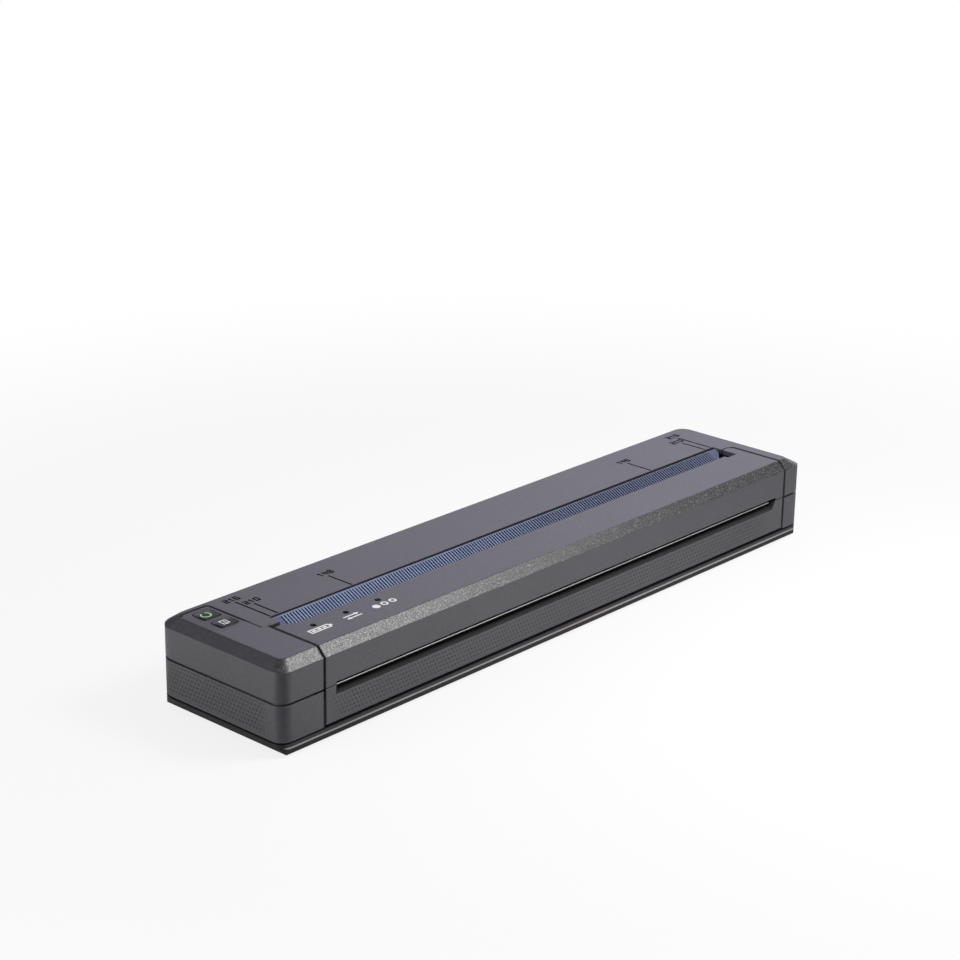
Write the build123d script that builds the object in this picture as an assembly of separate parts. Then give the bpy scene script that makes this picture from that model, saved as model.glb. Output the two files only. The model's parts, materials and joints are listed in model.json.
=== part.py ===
from build123d import *
import os
from math import acos, atan2, cos, degrees, pi, radians, sin, sqrt, tan

# Portable A4 thermal printer. X runs along the length, -Y is the paper exit side, +Z is up.
# The origin is the middle of the surface that the printer stands on. All sizes are millimetres.

# ---- along the length, from the left end to the right end ----
left_cap = 17.4
left_side_margin = 5.3
paper_width = 216.0
right_side_margin = 5.8
right_cap = 10.5

# ---- housing ----
body_depth = 55.0
body_height = 30.0
front_corner_radius = 4.2
rear_corner_radius = 7.0
bevel_height = 3.1
front_bevel = 3.0
rear_bevel = 4.6
left_bevel = 3.0
right_bevel = 5.6
top_front_radius = 2.2
top_rear_radius = 4.0
hollow_corner_cut = 3.5
edge_softness = 0.5
wall = 2.0
top_skin = 1.8
cap_wall = 1.6
groove_depth = 0.9

# ---- heights ----
foot_height = 0.8
base_top = 4.2
base_gap = 0.6
base_floor = 1.6
base_front_step = 0.5
base_end_slope = 2.2
base_front_band = 1.6
base_end_band = 0.4
parting_height = 16.4
parting_gap = 0.8

# ---- deck and paper guide ----
deck_front_setback = 28.5
deck_seam = 0.6
deck_rib_depth = 2.2
deck_rib_thickness = 1.2
paper_side_gap = 0.6
guide_top_gap = 0.2
guide_flat = 0.8
guide_ramp_run = 7.0
guide_ramp_angle = 27.0
guide_drop_run = 3.7
guide_drop_angle = 54.0
guide_thickness = 1.4
guide_end_gap = 0.2
guide_end_plain_left = 3.0
guide_end_plain_right = 5.0
guide_corner_cut = 4.4
guide_corner_setback = 1.2
rib_pitch = 1.2
rib_width = 0.6
rib_height = 0.6
rib_setback = 0.3
rib_end_setback = 1.5
guide_bracket_count = 6
guide_bracket_thickness = 1.4
guide_bracket_gap = 0.3
guide_bracket_margin = 8.0
sensor_offset = -43.0
sensor_width = 6.0
sensor_depth = 3.0

# ---- release cover ----
seam_gap = 0.6
cover_depth = 19.3
left_tab_reach = 2.4
left_tab_width = 3.2
left_tab_run = 4.0
left_notch = 2.0
right_tab_width = 4.7
right_tab_reach = 4.8
right_tab_corner = 1.8
finger_notch_width = 5.2
finger_notch_depth = 1.5
cover_parting_gap = 0.3
hinge_inset = 1.9
hinge_pin_radius = 0.8
hinge_corner = 1.0
pin_end_gap = 0.4
running_clearance = 0.05
lug_width = 2.2
lug_gap = 0.1
lug_web_depth = 2.6
cover_rib_thickness = 1.0
cover_rib_depth = 0.7
cover_rib_count = 7
cover_rib_margin = 8.0
panel_rib_count = 9
panel_rib_depth = 0.8
panel_lip_thickness = 1.2
rear_lip_depth = 0.8
rear_lip_thickness = 1.2
flange_margin = 0.4
cover_flange_width = 2.4
cover_flange_height = 9.0
cover_flange_overlap = 3.0
cover_flange_thickness = 1.5

# ---- paper exit ----
slot_drop = 2.0
slot_rise = 1.5
slot_end_margin = 0.4
slot_end_slant = 1.6
slot_lip_chamfer = 0.5
tear_bar_thickness = 0.5
tear_bar_setback = 0.3
tear_bar_rise = 0.2
tear_bar_flange = 4.5
tear_bar_end_gap = 2.8
exit_guide_front = 3.2
exit_guide_length = 2.6
exit_guide_rise = 1.4
exit_guide_drop = 0.7
exit_guide_thickness = 2.2

# ---- platen ----
platen_radius = 4.25
platen_setback = 10.5
platen_roof_gap = 1.35
shaft_radius = 2.0
shaft_end = 1.0
shaft_chamfer = 0.3
shaft_clearance = 0.04
bushing_radius = 3.0
bushing_flange_radius = 3.7
bushing_flange = 0.6

# ---- gears ----
gear_module = 0.5
pressure_angle = 20.0
gear_face = 2.2
gear_side_gap = 0.25
gear_backlash = 0.07
gear_addendum = 0.8
gear_dedendum = 1.15
platen_teeth = 18
idler_teeth = 24
pinion_teeth = 12
train_slack = 0.7
idler_axle_radius = 1.0
axle_head_radius = 1.6
axle_head = 0.3
axle_play = 0.15

# ---- motor ----
motor_radius = 7.2
motor_length = 10.0
motor_floor_gap = 2.3
motor_edge = 0.6
motor_flange = 0.8
motor_flange_reach = 9.6
motor_flange_height = 5.0
motor_boss_radius = 2.6
motor_shaft_radius = 0.75
motor_shaft_depth = 1.8
pinion_passage = 3.8

# ---- print head ----
head_tilt = 29.0
head_gap = 0.2
head_behind = 2.0
head_ahead = 6.5
head_thickness = 1.0
head_ridge_half = 0.4
head_cover_width = 3.2
head_cover_height = 0.7
head_cover_margin = 4.0
sink_thickness = 2.2
sink_overhang = 0.8
sink_channel_width = 1.8
sink_channel_depth = 0.9
sink_channel_pitch = 2.8
sink_channel_count = 3
spring_gap = 2.3
spring_strip = 0.35
spring_width = 9.0
spring_count = 4
spring_margin = 20.0
spring_foot = 7.0
spring_front = 5.0
spring_crown = 1.2
spring_crown_length = 0.6
shelf_thickness = 1.4
shelf_ahead = 8.0
shelf_behind = 5.0

# ---- frame ----
side_plate = 1.0
side_plate_shoulder = 1.2
side_plate_reach = 3.0
side_plate_roof_gap = 1.2
side_plate_board_gap = 1.8
side_plate_fall = 4.0
beam_setback = 3.6
beam_thickness = 1.4
beam_skirt = 7.0
leg_width = 6.0
leg_margin = 10.0
leg_count = 4

# ---- boards ----
board_thickness = 1.0
standoff = 2.0
standoff_half = 1.8
standoff_inset = 4.0
board_end_margin = 6.0
main_board_setback = 9.1
main_board_beam_gap = 1.2
main_board_left_gap = 1.6
main_board_right_gap = 0.6
chip_sizes = ((14.0, 12.0, 1.4), (9.0, 9.0, 1.2), (12.0, 8.0, 1.2), (7.0, 7.0, 1.6), (6.0, 10.0, 2.0))
chip_left_margin = 34.0
chip_right_margin = 42.0
chip_rear_gap = 0.9
connector_width = 34.0
connector_height = 2.0
connector_depth = 3.5
connector_margin = 6.4
cable_thickness = 0.3
cable_side_gap = 2.0
cable_gap = 0.4
cable_fall = 0.6
usb_width = 7.6
usb_height = 2.8
usb_length = 5.4
usb_edge_gap = 1.6
usb_shell = 0.4
usb_mouth = 3.8
usb_tongue_width = 5.2
usb_tongue_thickness = 0.6
jack_width = 9.0
jack_height = 9.5
jack_length = 5.6
jack_bore = 2.8
jack_wall = 0.5
jack_pin = 0.8
jack_edge_gap = 0.1
port_clearance = 0.3
port_recess = 0.8

# ---- control keys ----
key_end_distance = 10.0
power_key_setback = 12.0
feed_key_setback = 20.1
power_key_length = 6.5
power_key_depth = 6.0
feed_key_length = 6.8
feed_key_depth = 5.2
key_corner = 0.9
key_edge = 0.3
key_gap = 0.3
key_rise = 0.2
key_travel = 0.5
key_flange = 0.8
key_flange_gap = 0.1
key_flange_reach = 1.0
key_flange_depth = 0.4
key_stem_radius = 1.6
switch_size = 5.0
switch_height = 1.8
switch_plunger = 0.7
switch_plunger_width = 2.4
switch_gap = 0.1
control_board_drop = 5.8
control_board_half = 5.9
control_board_margin = 4.0
board_post_half = 0.8
board_post_reach = 5.2
panel_line_width = 0.5
panel_line_depth = 0.6
panel_line_radius = 1.6
panel_line_seam_gap = 2.0
panel_line_front = 4.2
panel_line_rear = 5.7
panel_line_end = 3.6

# ---- status lights ----
light_first = 9.6
light_pitch = 13.55
light_count = 3
light_setback = 14.7
light_radius = 0.6
light_flange = 0.4
led_size = 1.4
led_height = 0.5
status_board_depth = 3.2
status_board_margin = 3.0
status_board_thickness = 0.6
status_post = 1.4

# ---- battery ----
door_end_distance = 35.5
door_case_gap = 1.8
door_roof_gap = 5.6
door_gap = 0.5
door_thickness = 1.9
door_edge = 1.2
door_rib_count = 9
door_rib_margin = 6.0
door_rib_width = 1.2
door_rib_depth = 0.6
door_rib_low = 4.5
door_rib_high = 1.5
door_notch_width = 16.0
door_notch_depth = 1.4
door_lug_width = 2.4
boss_skin = 0.4
battery_end_gap = 3.0
battery_top_gap = 1.2
battery_corner = 1.5
battery_beam_gap = 1.0
battery_door_gap = 2.0
rail_width = 1.6
contact_width = 2.0
contact_count = 3
contact_strip = 0.4
contact_foot = 4.0
contact_height = 9.0

# ---- corner posts and feet ----
post_size = 4.6
post_web = 1.4
post_end_distance = 6.6
post_front_distance = 6.4
post_rear_distance = 5.2
foot_radius = 4.0
foot_end_distance = 19.5
foot_side_distance = 9.0

# ---- derived places ----
body_length = left_cap + left_side_margin + paper_width + right_side_margin + right_cap
half_length = body_length / 2
half_depth = body_depth / 2
front_face = -half_depth
rear_face = half_depth
left_seam = -half_length + left_cap
right_seam = half_length - right_cap
paper_left = left_seam + left_side_margin
paper_right = right_seam - right_side_margin
paper_centre = (paper_left + paper_right) / 2
case_bottom = base_top + base_gap
case_upper_start = parting_height + parting_gap
roof = body_height - top_skin
bevel_start = body_height - bevel_height
cap_left_face = left_seam - seam_gap / 2
cap_right_face = right_seam + seam_gap / 2
cover_left = left_seam + seam_gap / 2
cover_right = right_seam - seam_gap / 2
cover_low = case_upper_start - seam_gap / 6
cover_rear = front_face + cover_depth
left_tab_rear = cover_rear + left_tab_reach
right_tab_rear = cover_rear + right_tab_reach
finger_notch_left = cover_right - right_tab_width - finger_notch_width
deck_front = front_face + deck_front_setback
guide_left = paper_left - paper_side_gap
guide_right = paper_right + paper_side_gap
hinge_y = front_face + hinge_inset
hinge_z = case_bottom + hinge_inset
base_inner_floor = foot_height + base_floor
slot_left = guide_left - seam_gap / 6
slot_right = guide_right + slot_end_margin
slot_bottom = parting_height - slot_drop
slot_top = parting_height + slot_rise
tear_bar_height = parting_height + tear_bar_rise
exit_guide_top = slot_bottom + exit_guide_rise
left_plate_outer = guide_left - guide_end_gap - side_plate
right_plate_outer = guide_right + guide_end_gap + side_plate
gear_left = left_plate_outer - bushing_flange - gear_side_gap - gear_face
beam_y = deck_front + beam_setback
beam_back = beam_y + beam_thickness
board_top = base_inner_floor + standoff + board_thickness
main_board_front = front_face + main_board_setback
main_board_rear = beam_y - main_board_beam_gap
main_board_left = guide_left + main_board_left_gap
main_board_right = half_length - wall - main_board_right_gap
usb_y = main_board_rear - usb_edge_gap - usb_width / 2
jack_y = main_board_front + jack_edge_gap + jack_width / 2
sensor_x = paper_centre + sensor_offset
key_x = -half_length + key_end_distance
power_key_y = rear_face - power_key_setback
feed_key_y = rear_face - feed_key_setback
control_board_top = roof - control_board_drop
switch_top = control_board_top + switch_height + switch_plunger
light_y = front_face + light_setback
light_places = [left_seam + light_first + i * light_pitch for i in range(light_count)]
door_left = -half_length + door_end_distance
door_right = half_length - door_end_distance
door_bottom = case_bottom + door_case_gap
door_top = roof - door_roof_gap
battery_front = beam_back + battery_beam_gap
battery_rear = rear_face - door_thickness - door_rib_depth - battery_door_gap
shelf_drop = head_thickness + sink_thickness + spring_gap
guide_depth = guide_thickness + rib_height
guide_mean_angle = (guide_ramp_angle + guide_drop_angle) / 2

# The platen sits under the cover's skin, and the motor stands on the base. The idler meshes with both.
platen_y = front_face + platen_setback
platen_z = roof - platen_roof_gap - platen_radius
platen_centre = (platen_y, platen_z)
platen_idler_span = (platen_teeth + idler_teeth) * gear_module / 2
idler_motor_span = (idler_teeth + pinion_teeth) * gear_module / 2
train_span = platen_idler_span + idler_motor_span - train_slack
motor_z = base_inner_floor + motor_floor_gap + motor_radius
motor_centre = (platen_y + sqrt(train_span ** 2 - (platen_z - motor_z) ** 2), motor_z)


def shifted(centre, distance, angle):
    """Point at a distance and angle, in degrees, from a centre in the YZ plane."""
    return (centre[0] + distance * cos(radians(angle)), centre[1] + distance * sin(radians(angle)))


train_direction = degrees(atan2(motor_centre[1] - platen_z, motor_centre[0] - platen_y))
idler_side = platen_idler_span ** 2 + train_span ** 2 - idler_motor_span ** 2
idler_cosine = idler_side / (2 * platen_idler_span * train_span)
idler_direction = train_direction - degrees(acos(idler_cosine))
idler_centre = shifted(platen_centre, platen_idler_span, idler_direction)
pinion_direction = degrees(atan2(motor_centre[1] - idler_centre[1], motor_centre[0] - idler_centre[0]))

# The head lies square to the line from the platen axis to the print line.
print_line = shifted(platen_centre, platen_radius + head_gap, head_tilt - 90)


def head_point(along, above):
    """YZ point given along the head, positive towards the rear, and above its face."""
    tilt = radians(head_tilt)
    y = print_line[0] + along * cos(tilt) - above * sin(tilt)
    z = print_line[1] + along * sin(tilt) + above * cos(tilt)
    return (y, z)


# ---- building helpers ----
def block(x0, x1, y0, y1, z0, z1):
    """Box between two corners."""
    return Pos((x0 + x1) / 2, (y0 + y1) / 2, (z0 + z1) / 2) * Box(x1 - x0, y1 - y0, z1 - z0)


def prism_along_x(points, x0, x1):
    """Solid whose YZ outline runs from x0 to x1."""
    outline = Plane.YZ.offset(x0) * Polygon(*points, align=None)
    return extrude(outline, x1 - x0, dir=(1, 0, 0))


def prism_up(points, z0, z1):
    """Solid whose XY outline runs from z0 to z1."""
    outline = Plane.XY.offset(z0) * Polygon(*points, align=None)
    return extrude(outline, z1 - z0, dir=(0, 0, 1))


def rod_along_x(centre, radius, x0, x1):
    """Cylinder along X about a YZ centre."""
    return extrude(Plane.YZ.offset(x0) * (Pos(*centre) * Circle(radius)), x1 - x0)


def rod_up(x, y, radius, z0, z1):
    """Upright cylinder."""
    return Pos(x, y, (z0 + z1) / 2) * Cylinder(radius, z1 - z0)


def spread(first, last, count):
    """Evenly spaced values from first to last."""
    return [first + (last - first) * i / (count - 1) for i in range(count)]


# ---- housing forms ----
def rounded_plan(z, insets, front_radius, rear_radius):
    """Plan of the housing, set in at the left, right, front and rear, with its own corner radii."""
    left, right, front, rear = insets
    outline = Rectangle(body_length - left - right, body_depth - front - rear)
    outline = fillet(outline.vertices().group_by(Axis.Y)[0], front_radius)
    outline = fillet(outline.vertices().group_by(Axis.Y)[-1], rear_radius)
    return Plane.XY.offset(z) * (Pos((left - right) / 2, (front - rear) / 2) * outline)


def plan(z, inset):
    """Plan of the housing below its bevels, drawn in by an inset."""
    insets = (inset, inset, inset, inset)
    return rounded_plan(z, insets, front_corner_radius - inset, rear_corner_radius - inset)


def top_plan():
    """Plan of the flat top inside the bevels."""
    insets = (left_bevel, right_bevel, front_bevel, rear_bevel)
    return rounded_plan(body_height, insets, top_front_radius, top_rear_radius)


def housing_form():
    """Outside of the housing above the base, with its bevels and softened edges."""
    lower = extrude(plan(case_bottom, 0), bevel_start - case_bottom)
    upper = loft([plan(bevel_start, 0), top_plan()], ruled=True)
    form = lower + upper
    rims = form.edges().group_by(Axis.Z)[-1]
    form = fillet(rims, edge_softness)
    return form


def housing_hollow():
    """Space inside the walls, from under the base line to the underside of the roof."""
    turn = bevel_start - wall / 2
    share = (roof - turn) / bevel_height
    lower = extrude(cut_corner_plan(base_top, 0), turn - base_top)
    upper = loft([cut_corner_plan(turn, 0), cut_corner_plan(roof, share)], ruled=True)
    return lower + upper


def cut_corner_plan(z, share):
    """Inner plan with its corners cut straight, set in by the wall and a share of each bevel."""
    x0 = -half_length + wall + left_bevel * share
    x1 = half_length - wall - right_bevel * share
    y0 = front_face + wall + front_bevel * share
    y1 = rear_face - wall - rear_bevel * share
    cut = hollow_corner_cut
    outline = [(x0 + cut, y0), (x1 - cut, y0), (x1, y0 + cut), (x1, y1 - cut),
               (x1 - cut, y1), (x0 + cut, y1), (x0, y1 - cut), (x0, y0 + cut)]
    return Plane.XY.offset(z) * Polygon(*outline, align=None)


def between(form, z0, z1):
    """Part of a form between two heights."""
    margin = body_length
    return form & block(-margin, margin, -margin, margin, z0, z1)


def ring(z0, z1, outer_inset, inner_inset):
    """Upright rim that follows the plan."""
    return extrude(plan(z0, outer_inset), z1 - z0) - extrude(plan(z0, inner_inset), z1 - z0)


def bay_form(z0, z1):
    """Space of the release cover and the paper guide, open to the front."""
    ahead = front_face - wall
    right_step = right_tab_rear + seam_gap
    points = [
        (cap_left_face, ahead),
        (cap_left_face, left_tab_rear + left_notch),
        (guide_left - guide_end_gap, left_tab_rear + left_notch),
        (guide_left - guide_end_gap, deck_front),
        (guide_right + guide_end_gap, deck_front),
        (guide_right + guide_end_gap, right_step),
        (cap_right_face - right_tab_corner, right_step),
        (cap_right_face, right_step - right_tab_corner),
        (cap_right_face, ahead),
    ]
    return prism_up(points, z0, z1)


def cover_plan(z0, z1):
    """Plan of the release cover with its two rear shoulders and the finger notch."""
    ahead = front_face - wall
    notch_left = finger_notch_left
    notch_right = notch_left + finger_notch_width
    notch_front = cover_rear - finger_notch_depth
    points = [
        (cover_left, ahead),
        (cover_left, left_tab_rear),
        (cover_left + left_tab_width, left_tab_rear),
        (cover_left + left_tab_width + left_tab_run, cover_rear),
        (notch_left, cover_rear),
        (notch_left, notch_front),
        (notch_right, notch_front),
        (notch_right, right_tab_rear),
        (cover_right - right_tab_corner, right_tab_rear),
        (cover_right, right_tab_rear - right_tab_corner),
        (cover_right, ahead),
    ]
    return prism_up(points, z0, z1)


# ---- posts shared by the housing parts ----
def corner_posts(z0, z1):
    """Four posts, two in each end cap, on which the base and both case halves meet."""
    half = post_size / 2
    x0 = half_length - post_end_distance - half
    low = front_face + post_front_distance
    high = rear_face - post_rear_distance
    posts = []
    for y in (low, high):
        posts.append(block(x0, x0 + post_size, y - half, y + half, z0, z1))
        posts.append(block(-x0 - post_size, -x0, y - half, y + half, z0, z1))
    return posts[0] + posts[1:]


def post_webs(z0, z1):
    """Webs that tie the corner posts to the end walls."""
    x0 = half_length - post_end_distance
    x1 = half_length - wall / 2
    webs = []
    for y in (front_face + post_front_distance, rear_face - post_rear_distance):
        webs.append(block(x0, x1, y - post_web / 2, y + post_web / 2, z0, z1))
        webs.append(block(-x1, -x0, y - post_web / 2, y + post_web / 2, z0, z1))
    return webs[0] + webs[1:]


# ---- base ----
def base_cover():
    """Shallow tray with a stepped front, sloped ends and a rim that seats the case."""
    low = foot_height
    front_turn = base_top - base_front_band
    step_low = front_turn - base_front_step
    end_turn = base_top - base_end_band
    across = [
        (front_face, base_top),
        (front_face, front_turn),
        (front_face + base_front_step, step_low),
        (front_face + base_front_step, low),
        (rear_face - base_front_step, low),
        (rear_face - base_front_step, step_low),
        (rear_face, front_turn),
        (rear_face, base_top),
    ]
    form = extrude(plan(low, 0), base_top - low)
    form = form & prism_along_x(across, -half_length, half_length)
    along = [
        (-half_length, base_top),
        (-half_length, end_turn),
        (-half_length + base_end_slope, low),
        (half_length - base_end_slope, low),
        (half_length, end_turn),
        (half_length, base_top),
    ]
    side_outline = Plane.XZ.offset(-half_depth) * Polygon(*along, align=None)
    form = form & extrude(side_outline, body_depth, dir=(0, -1, 0))
    pocket = extrude(plan(base_inner_floor, wall + base_front_step), base_top - base_inner_floor)
    form = form - pocket
    rim = ring(base_top, case_bottom, groove_depth, wall)
    form = form + (rim - bay_form(base_top, case_bottom))
    for x, y in board_standoffs():
        form = form + block(x - standoff_half, x + standoff_half, y - standoff_half, y + standoff_half,
                            base_inner_floor, base_inner_floor + standoff)
    for y in battery_rail_places():
        rail = block(door_left + battery_end_gap, door_right - battery_end_gap,
                     y - rail_width / 2, y + rail_width / 2, base_inner_floor, base_inner_floor + standoff)
        form = form + rail
    return form + corner_posts(base_inner_floor, case_bottom)


def battery_rail_places():
    """Y of the two rails that the battery pack rests on."""
    quarter = (battery_rear - battery_front) / 4
    return (battery_front + quarter, battery_rear - quarter)


def foot_places():
    """Centres of the four feet."""
    x = half_length - foot_end_distance
    y = half_depth - foot_side_distance
    return [(sx * x, sy * y) for sx in (-1, 1) for sy in (-1, 1)]


def rubber_feet():
    """Four round pads, each seated in its pocket."""
    return [rod_up(x, y, foot_radius, 0, foot_height) for x, y in foot_places()]


# ---- lower case ----
def lower_case():
    """Walls of both end caps and the rear, with cap walls, corner posts and port openings."""
    shell = between(housing_form() - housing_hollow(), case_bottom, parting_height)
    shell = shell - bay_form(case_bottom, parting_height)
    tongue = ring(parting_height, case_upper_start, groove_depth, wall)
    shell = shell + (tongue - bay_form(parting_height, case_upper_start))
    shell = shell + cap_walls(case_bottom, case_upper_start)
    shell = shell - ring(parting_height, case_upper_start, 0, groove_depth)
    shell = shell + corner_posts(case_bottom, case_upper_start) + post_webs(case_bottom, case_upper_start)
    hinge_reach = cap_wall + lug_width
    for face, outward in ((cap_left_face, -1), (cap_right_face, 1)):
        boss_end = face + outward * hinge_reach
        x0, x1 = min(face, boss_end), max(face, boss_end)
        boss = block(x0, x1, front_face + boss_skin, hinge_y + hinge_inset, case_bottom, hinge_z + hinge_inset)
        bore = rod_along_x((hinge_y, hinge_z), hinge_pin_radius + running_clearance, x0, x1)
        shell = shell + boss - bore
    shell = shell - door_opening()
    shell = shell + door_bosses()
    bore = rod_along_x(door_axis(), hinge_pin_radius + running_clearance, *door_boss_span())
    shell = shell - bore
    shell = shell - port_openings() - board_passage()
    shell = shell - rod_along_x(motor_centre, pinion_passage, cap_left_face - cap_wall, cap_left_face)
    return shell


def cap_walls(z0, z1):
    """Inner walls that close both end caps beside the release cover."""
    form = between(housing_form(), z0, z1)
    rear = deck_front + deck_rib_thickness
    left = block(cap_left_face - cap_wall, cap_left_face, front_face, rear, z0, z1)
    right = block(cap_right_face, cap_right_face + cap_wall, front_face, rear, z0, z1)
    return form & (left + right)


def board_passage():
    """Low cut in the right cap wall that the main board passes through."""
    x0 = cap_right_face
    front = main_board_front - port_clearance
    rear = main_board_rear + port_clearance
    return block(x0, x0 + cap_wall, front, rear, case_bottom, board_top + connector_height)


def port_openings():
    """Socket openings through the right end wall."""
    gap = port_clearance
    x0 = half_length - wall - gap
    z0 = board_top
    usb = block(x0, half_length, usb_y - usb_width / 2 - gap, usb_y + usb_width / 2 + gap,
                z0 - gap, z0 + usb_height + gap)
    jack = rod_along_x((jack_y, z0 + jack_height / 2), jack_bore + gap, x0, half_length)
    return usb + jack


# ---- upper case ----
def upper_case():
    """Rear deck and the upper halves of both end caps."""
    shell = between(housing_form() - housing_hollow(), case_upper_start, body_height)
    shell = shell - bay_form(case_upper_start, body_height)
    shell = shell + cap_walls(case_upper_start, roof)
    rib = block(guide_left, guide_right, deck_front, deck_front + deck_rib_thickness,
                roof - deck_rib_depth, roof)
    shell = shell + rib
    shell = shell + (corner_posts(case_upper_start, roof) & housing_form())
    for y in (power_key_y, feed_key_y):
        shell = shell - key_hole(y)
    for x, y in control_board_posts():
        half = board_post_half
        shell = shell + block(x - half, x + half, y - half, y + half, control_board_top, roof)
    shell = shell - panel_line() - door_opening() - door_notch()
    shell = shell - rod_along_x(motor_centre, pinion_passage, cap_left_face - cap_wall, cap_left_face)
    return shell


def key_size(y):
    """Length and depth of the key at a place."""
    if y == power_key_y:
        return power_key_length, power_key_depth
    return feed_key_length, feed_key_depth


def key_hole(y):
    """Opening in the roof for one key."""
    length, depth = key_size(y)
    outline = RectangleRounded(length + 2 * key_gap, depth + 2 * key_gap, key_corner + key_gap)
    return extrude(Plane.XY.offset(roof) * (Pos(key_x, y) * outline), top_skin)


def panel_line():
    """Fine line that sets off the key area at the rear of the left cap."""
    top = body_height
    low = top - panel_line_depth
    radius = panel_line_radius
    x0 = -half_length + panel_line_end
    x1 = left_seam - panel_line_seam_gap
    y0 = deck_front - panel_line_front
    y1 = power_key_y + panel_line_rear
    length = x1 - x0
    depth = y1 - y0 + radius
    outer = RectangleRounded(length, depth, radius)
    inset = 2 * panel_line_width
    inner = RectangleRounded(length - inset, depth - inset, radius - panel_line_width)
    line = Plane.XY.offset(low) * (Pos((x0 + x1) / 2, y1 - depth / 2) * (outer - inner))
    kept = block(x0, x1, y1 - radius, y1, low, top) + block(x1 - radius, x1, y0, y1, low, top)
    return extrude(line, panel_line_depth) & kept


# ---- rear battery door ----
def door_axis():
    """YZ centre of the battery door hinge."""
    return (rear_face - hinge_inset, door_bottom + hinge_inset)


def door_opening():
    """Opening in the rear wall that the battery door fills."""
    gap = door_gap
    return block(door_left - gap, door_right + gap, rear_face - wall - gap, rear_face,
                 door_bottom - gap, door_top + gap)


def door_boss_span():
    """Outer ends of the two bosses that carry the door pins."""
    reach = door_gap + door_lug_width
    return (door_left - reach, door_right + reach)


def door_bosses():
    """Two bosses on the lower case beside the door."""
    y, z = door_axis()
    span = door_boss_span()
    low = z - hinge_inset
    high = z + hinge_inset
    front = y - hinge_inset
    left = block(span[0], door_left - door_gap, front, rear_face - boss_skin, low, high)
    right = block(door_right + door_gap, span[1], front, rear_face - boss_skin, low, high)
    return left + right


def door_notch():
    """Finger notch above the door."""
    half = door_notch_width / 2
    z0 = door_top + door_gap
    return block(-half, half, rear_face - wall, rear_face, z0, z0 + door_notch_depth)


def battery_door():
    """Hinged door, flush with the rear, ribbed inside and rounded along its hinge edge."""
    inner = rear_face - door_thickness
    panel = block(door_left, door_right, inner, rear_face, door_bottom, door_top)
    hinge_edge = panel.edges().filter_by(Axis.X).group_by(Axis.Y)[-1].group_by(Axis.Z)[0]
    panel = fillet(hinge_edge, door_edge)
    for x in spread(door_left + door_rib_margin, door_right - door_rib_margin, door_rib_count):
        rib = block(x - door_rib_width / 2, x + door_rib_width / 2, inner - door_rib_depth, inner,
                    door_bottom + door_rib_low, door_top - door_rib_high)
        panel = panel + rib
    y, z = door_axis()
    for x0 in (door_left, door_right - door_lug_width):
        lug = rod_along_x((y, z), hinge_inset - lug_gap, x0, x0 + door_lug_width)
        panel = panel + lug
        panel = panel - rod_along_x((y, z), hinge_pin_radius, x0, x0 + door_lug_width)
    return panel


def battery_door_pins():
    """Two steel pins held in the door lugs."""
    outer = door_boss_span()
    left = rod_along_x(door_axis(), hinge_pin_radius, outer[0] + pin_end_gap, door_left + door_lug_width)
    right = rod_along_x(door_axis(), hinge_pin_radius, door_right - door_lug_width, outer[1] - pin_end_gap)
    return [left, right]


def battery_pack():
    """Rounded battery pack behind the door."""
    x0 = door_left + battery_end_gap
    x1 = door_right - battery_end_gap
    z0 = base_inner_floor + standoff
    pack = block(x0, x1, battery_front, battery_rear, z0, door_top - battery_top_gap)
    pack = fillet(pack.edges().filter_by(Axis.X), battery_corner)
    return pack


def battery_contacts():
    """Sprung contact blades at the left end of the pack."""
    x1 = door_left + battery_end_gap
    z0 = base_inner_floor
    pitch = (battery_rear - battery_front) / (contact_count + 1)
    blades = []
    for i in range(contact_count):
        y0 = battery_front + (i + 1) * pitch - contact_width / 2
        y1 = y0 + contact_width
        foot = block(x1 - contact_foot, x1 - contact_strip, y0, y1, z0, z0 + contact_strip)
        upright = block(x1 - contact_strip, x1, y0, y1, z0, z0 + contact_height)
        blades.append(foot + upright)
    return blades


# ---- release cover ----
def release_cover():
    """Upper part of the hinged cover: top skin, bevel and front wall above the paper exit."""
    low = cover_low
    shell = between(housing_form() - housing_hollow(), low, body_height)
    shell = shell & cover_plan(low, body_height)
    slot = block(slot_left, slot_right, front_face, front_face + wall, low, slot_top)
    shell = shell - slot
    lights_end = light_places[-1] + cover_rib_margin
    for x in spread(lights_end + cover_rib_margin, cover_right - cover_rib_margin, cover_rib_count):
        rib = block(x - cover_rib_thickness / 2, x + cover_rib_thickness / 2, front_face + front_bevel,
                    cover_rear - rear_lip_thickness, roof - cover_rib_depth, body_height - top_skin / 2)
        shell = shell + rib
    for x in light_places:
        shell = shell - rod_up(x, light_y, light_radius, roof, body_height)
    lip = block(lights_end, finger_notch_left, cover_rear - rear_lip_thickness, cover_rear,
                roof - rear_lip_depth, roof)
    return shell + lip


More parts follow.
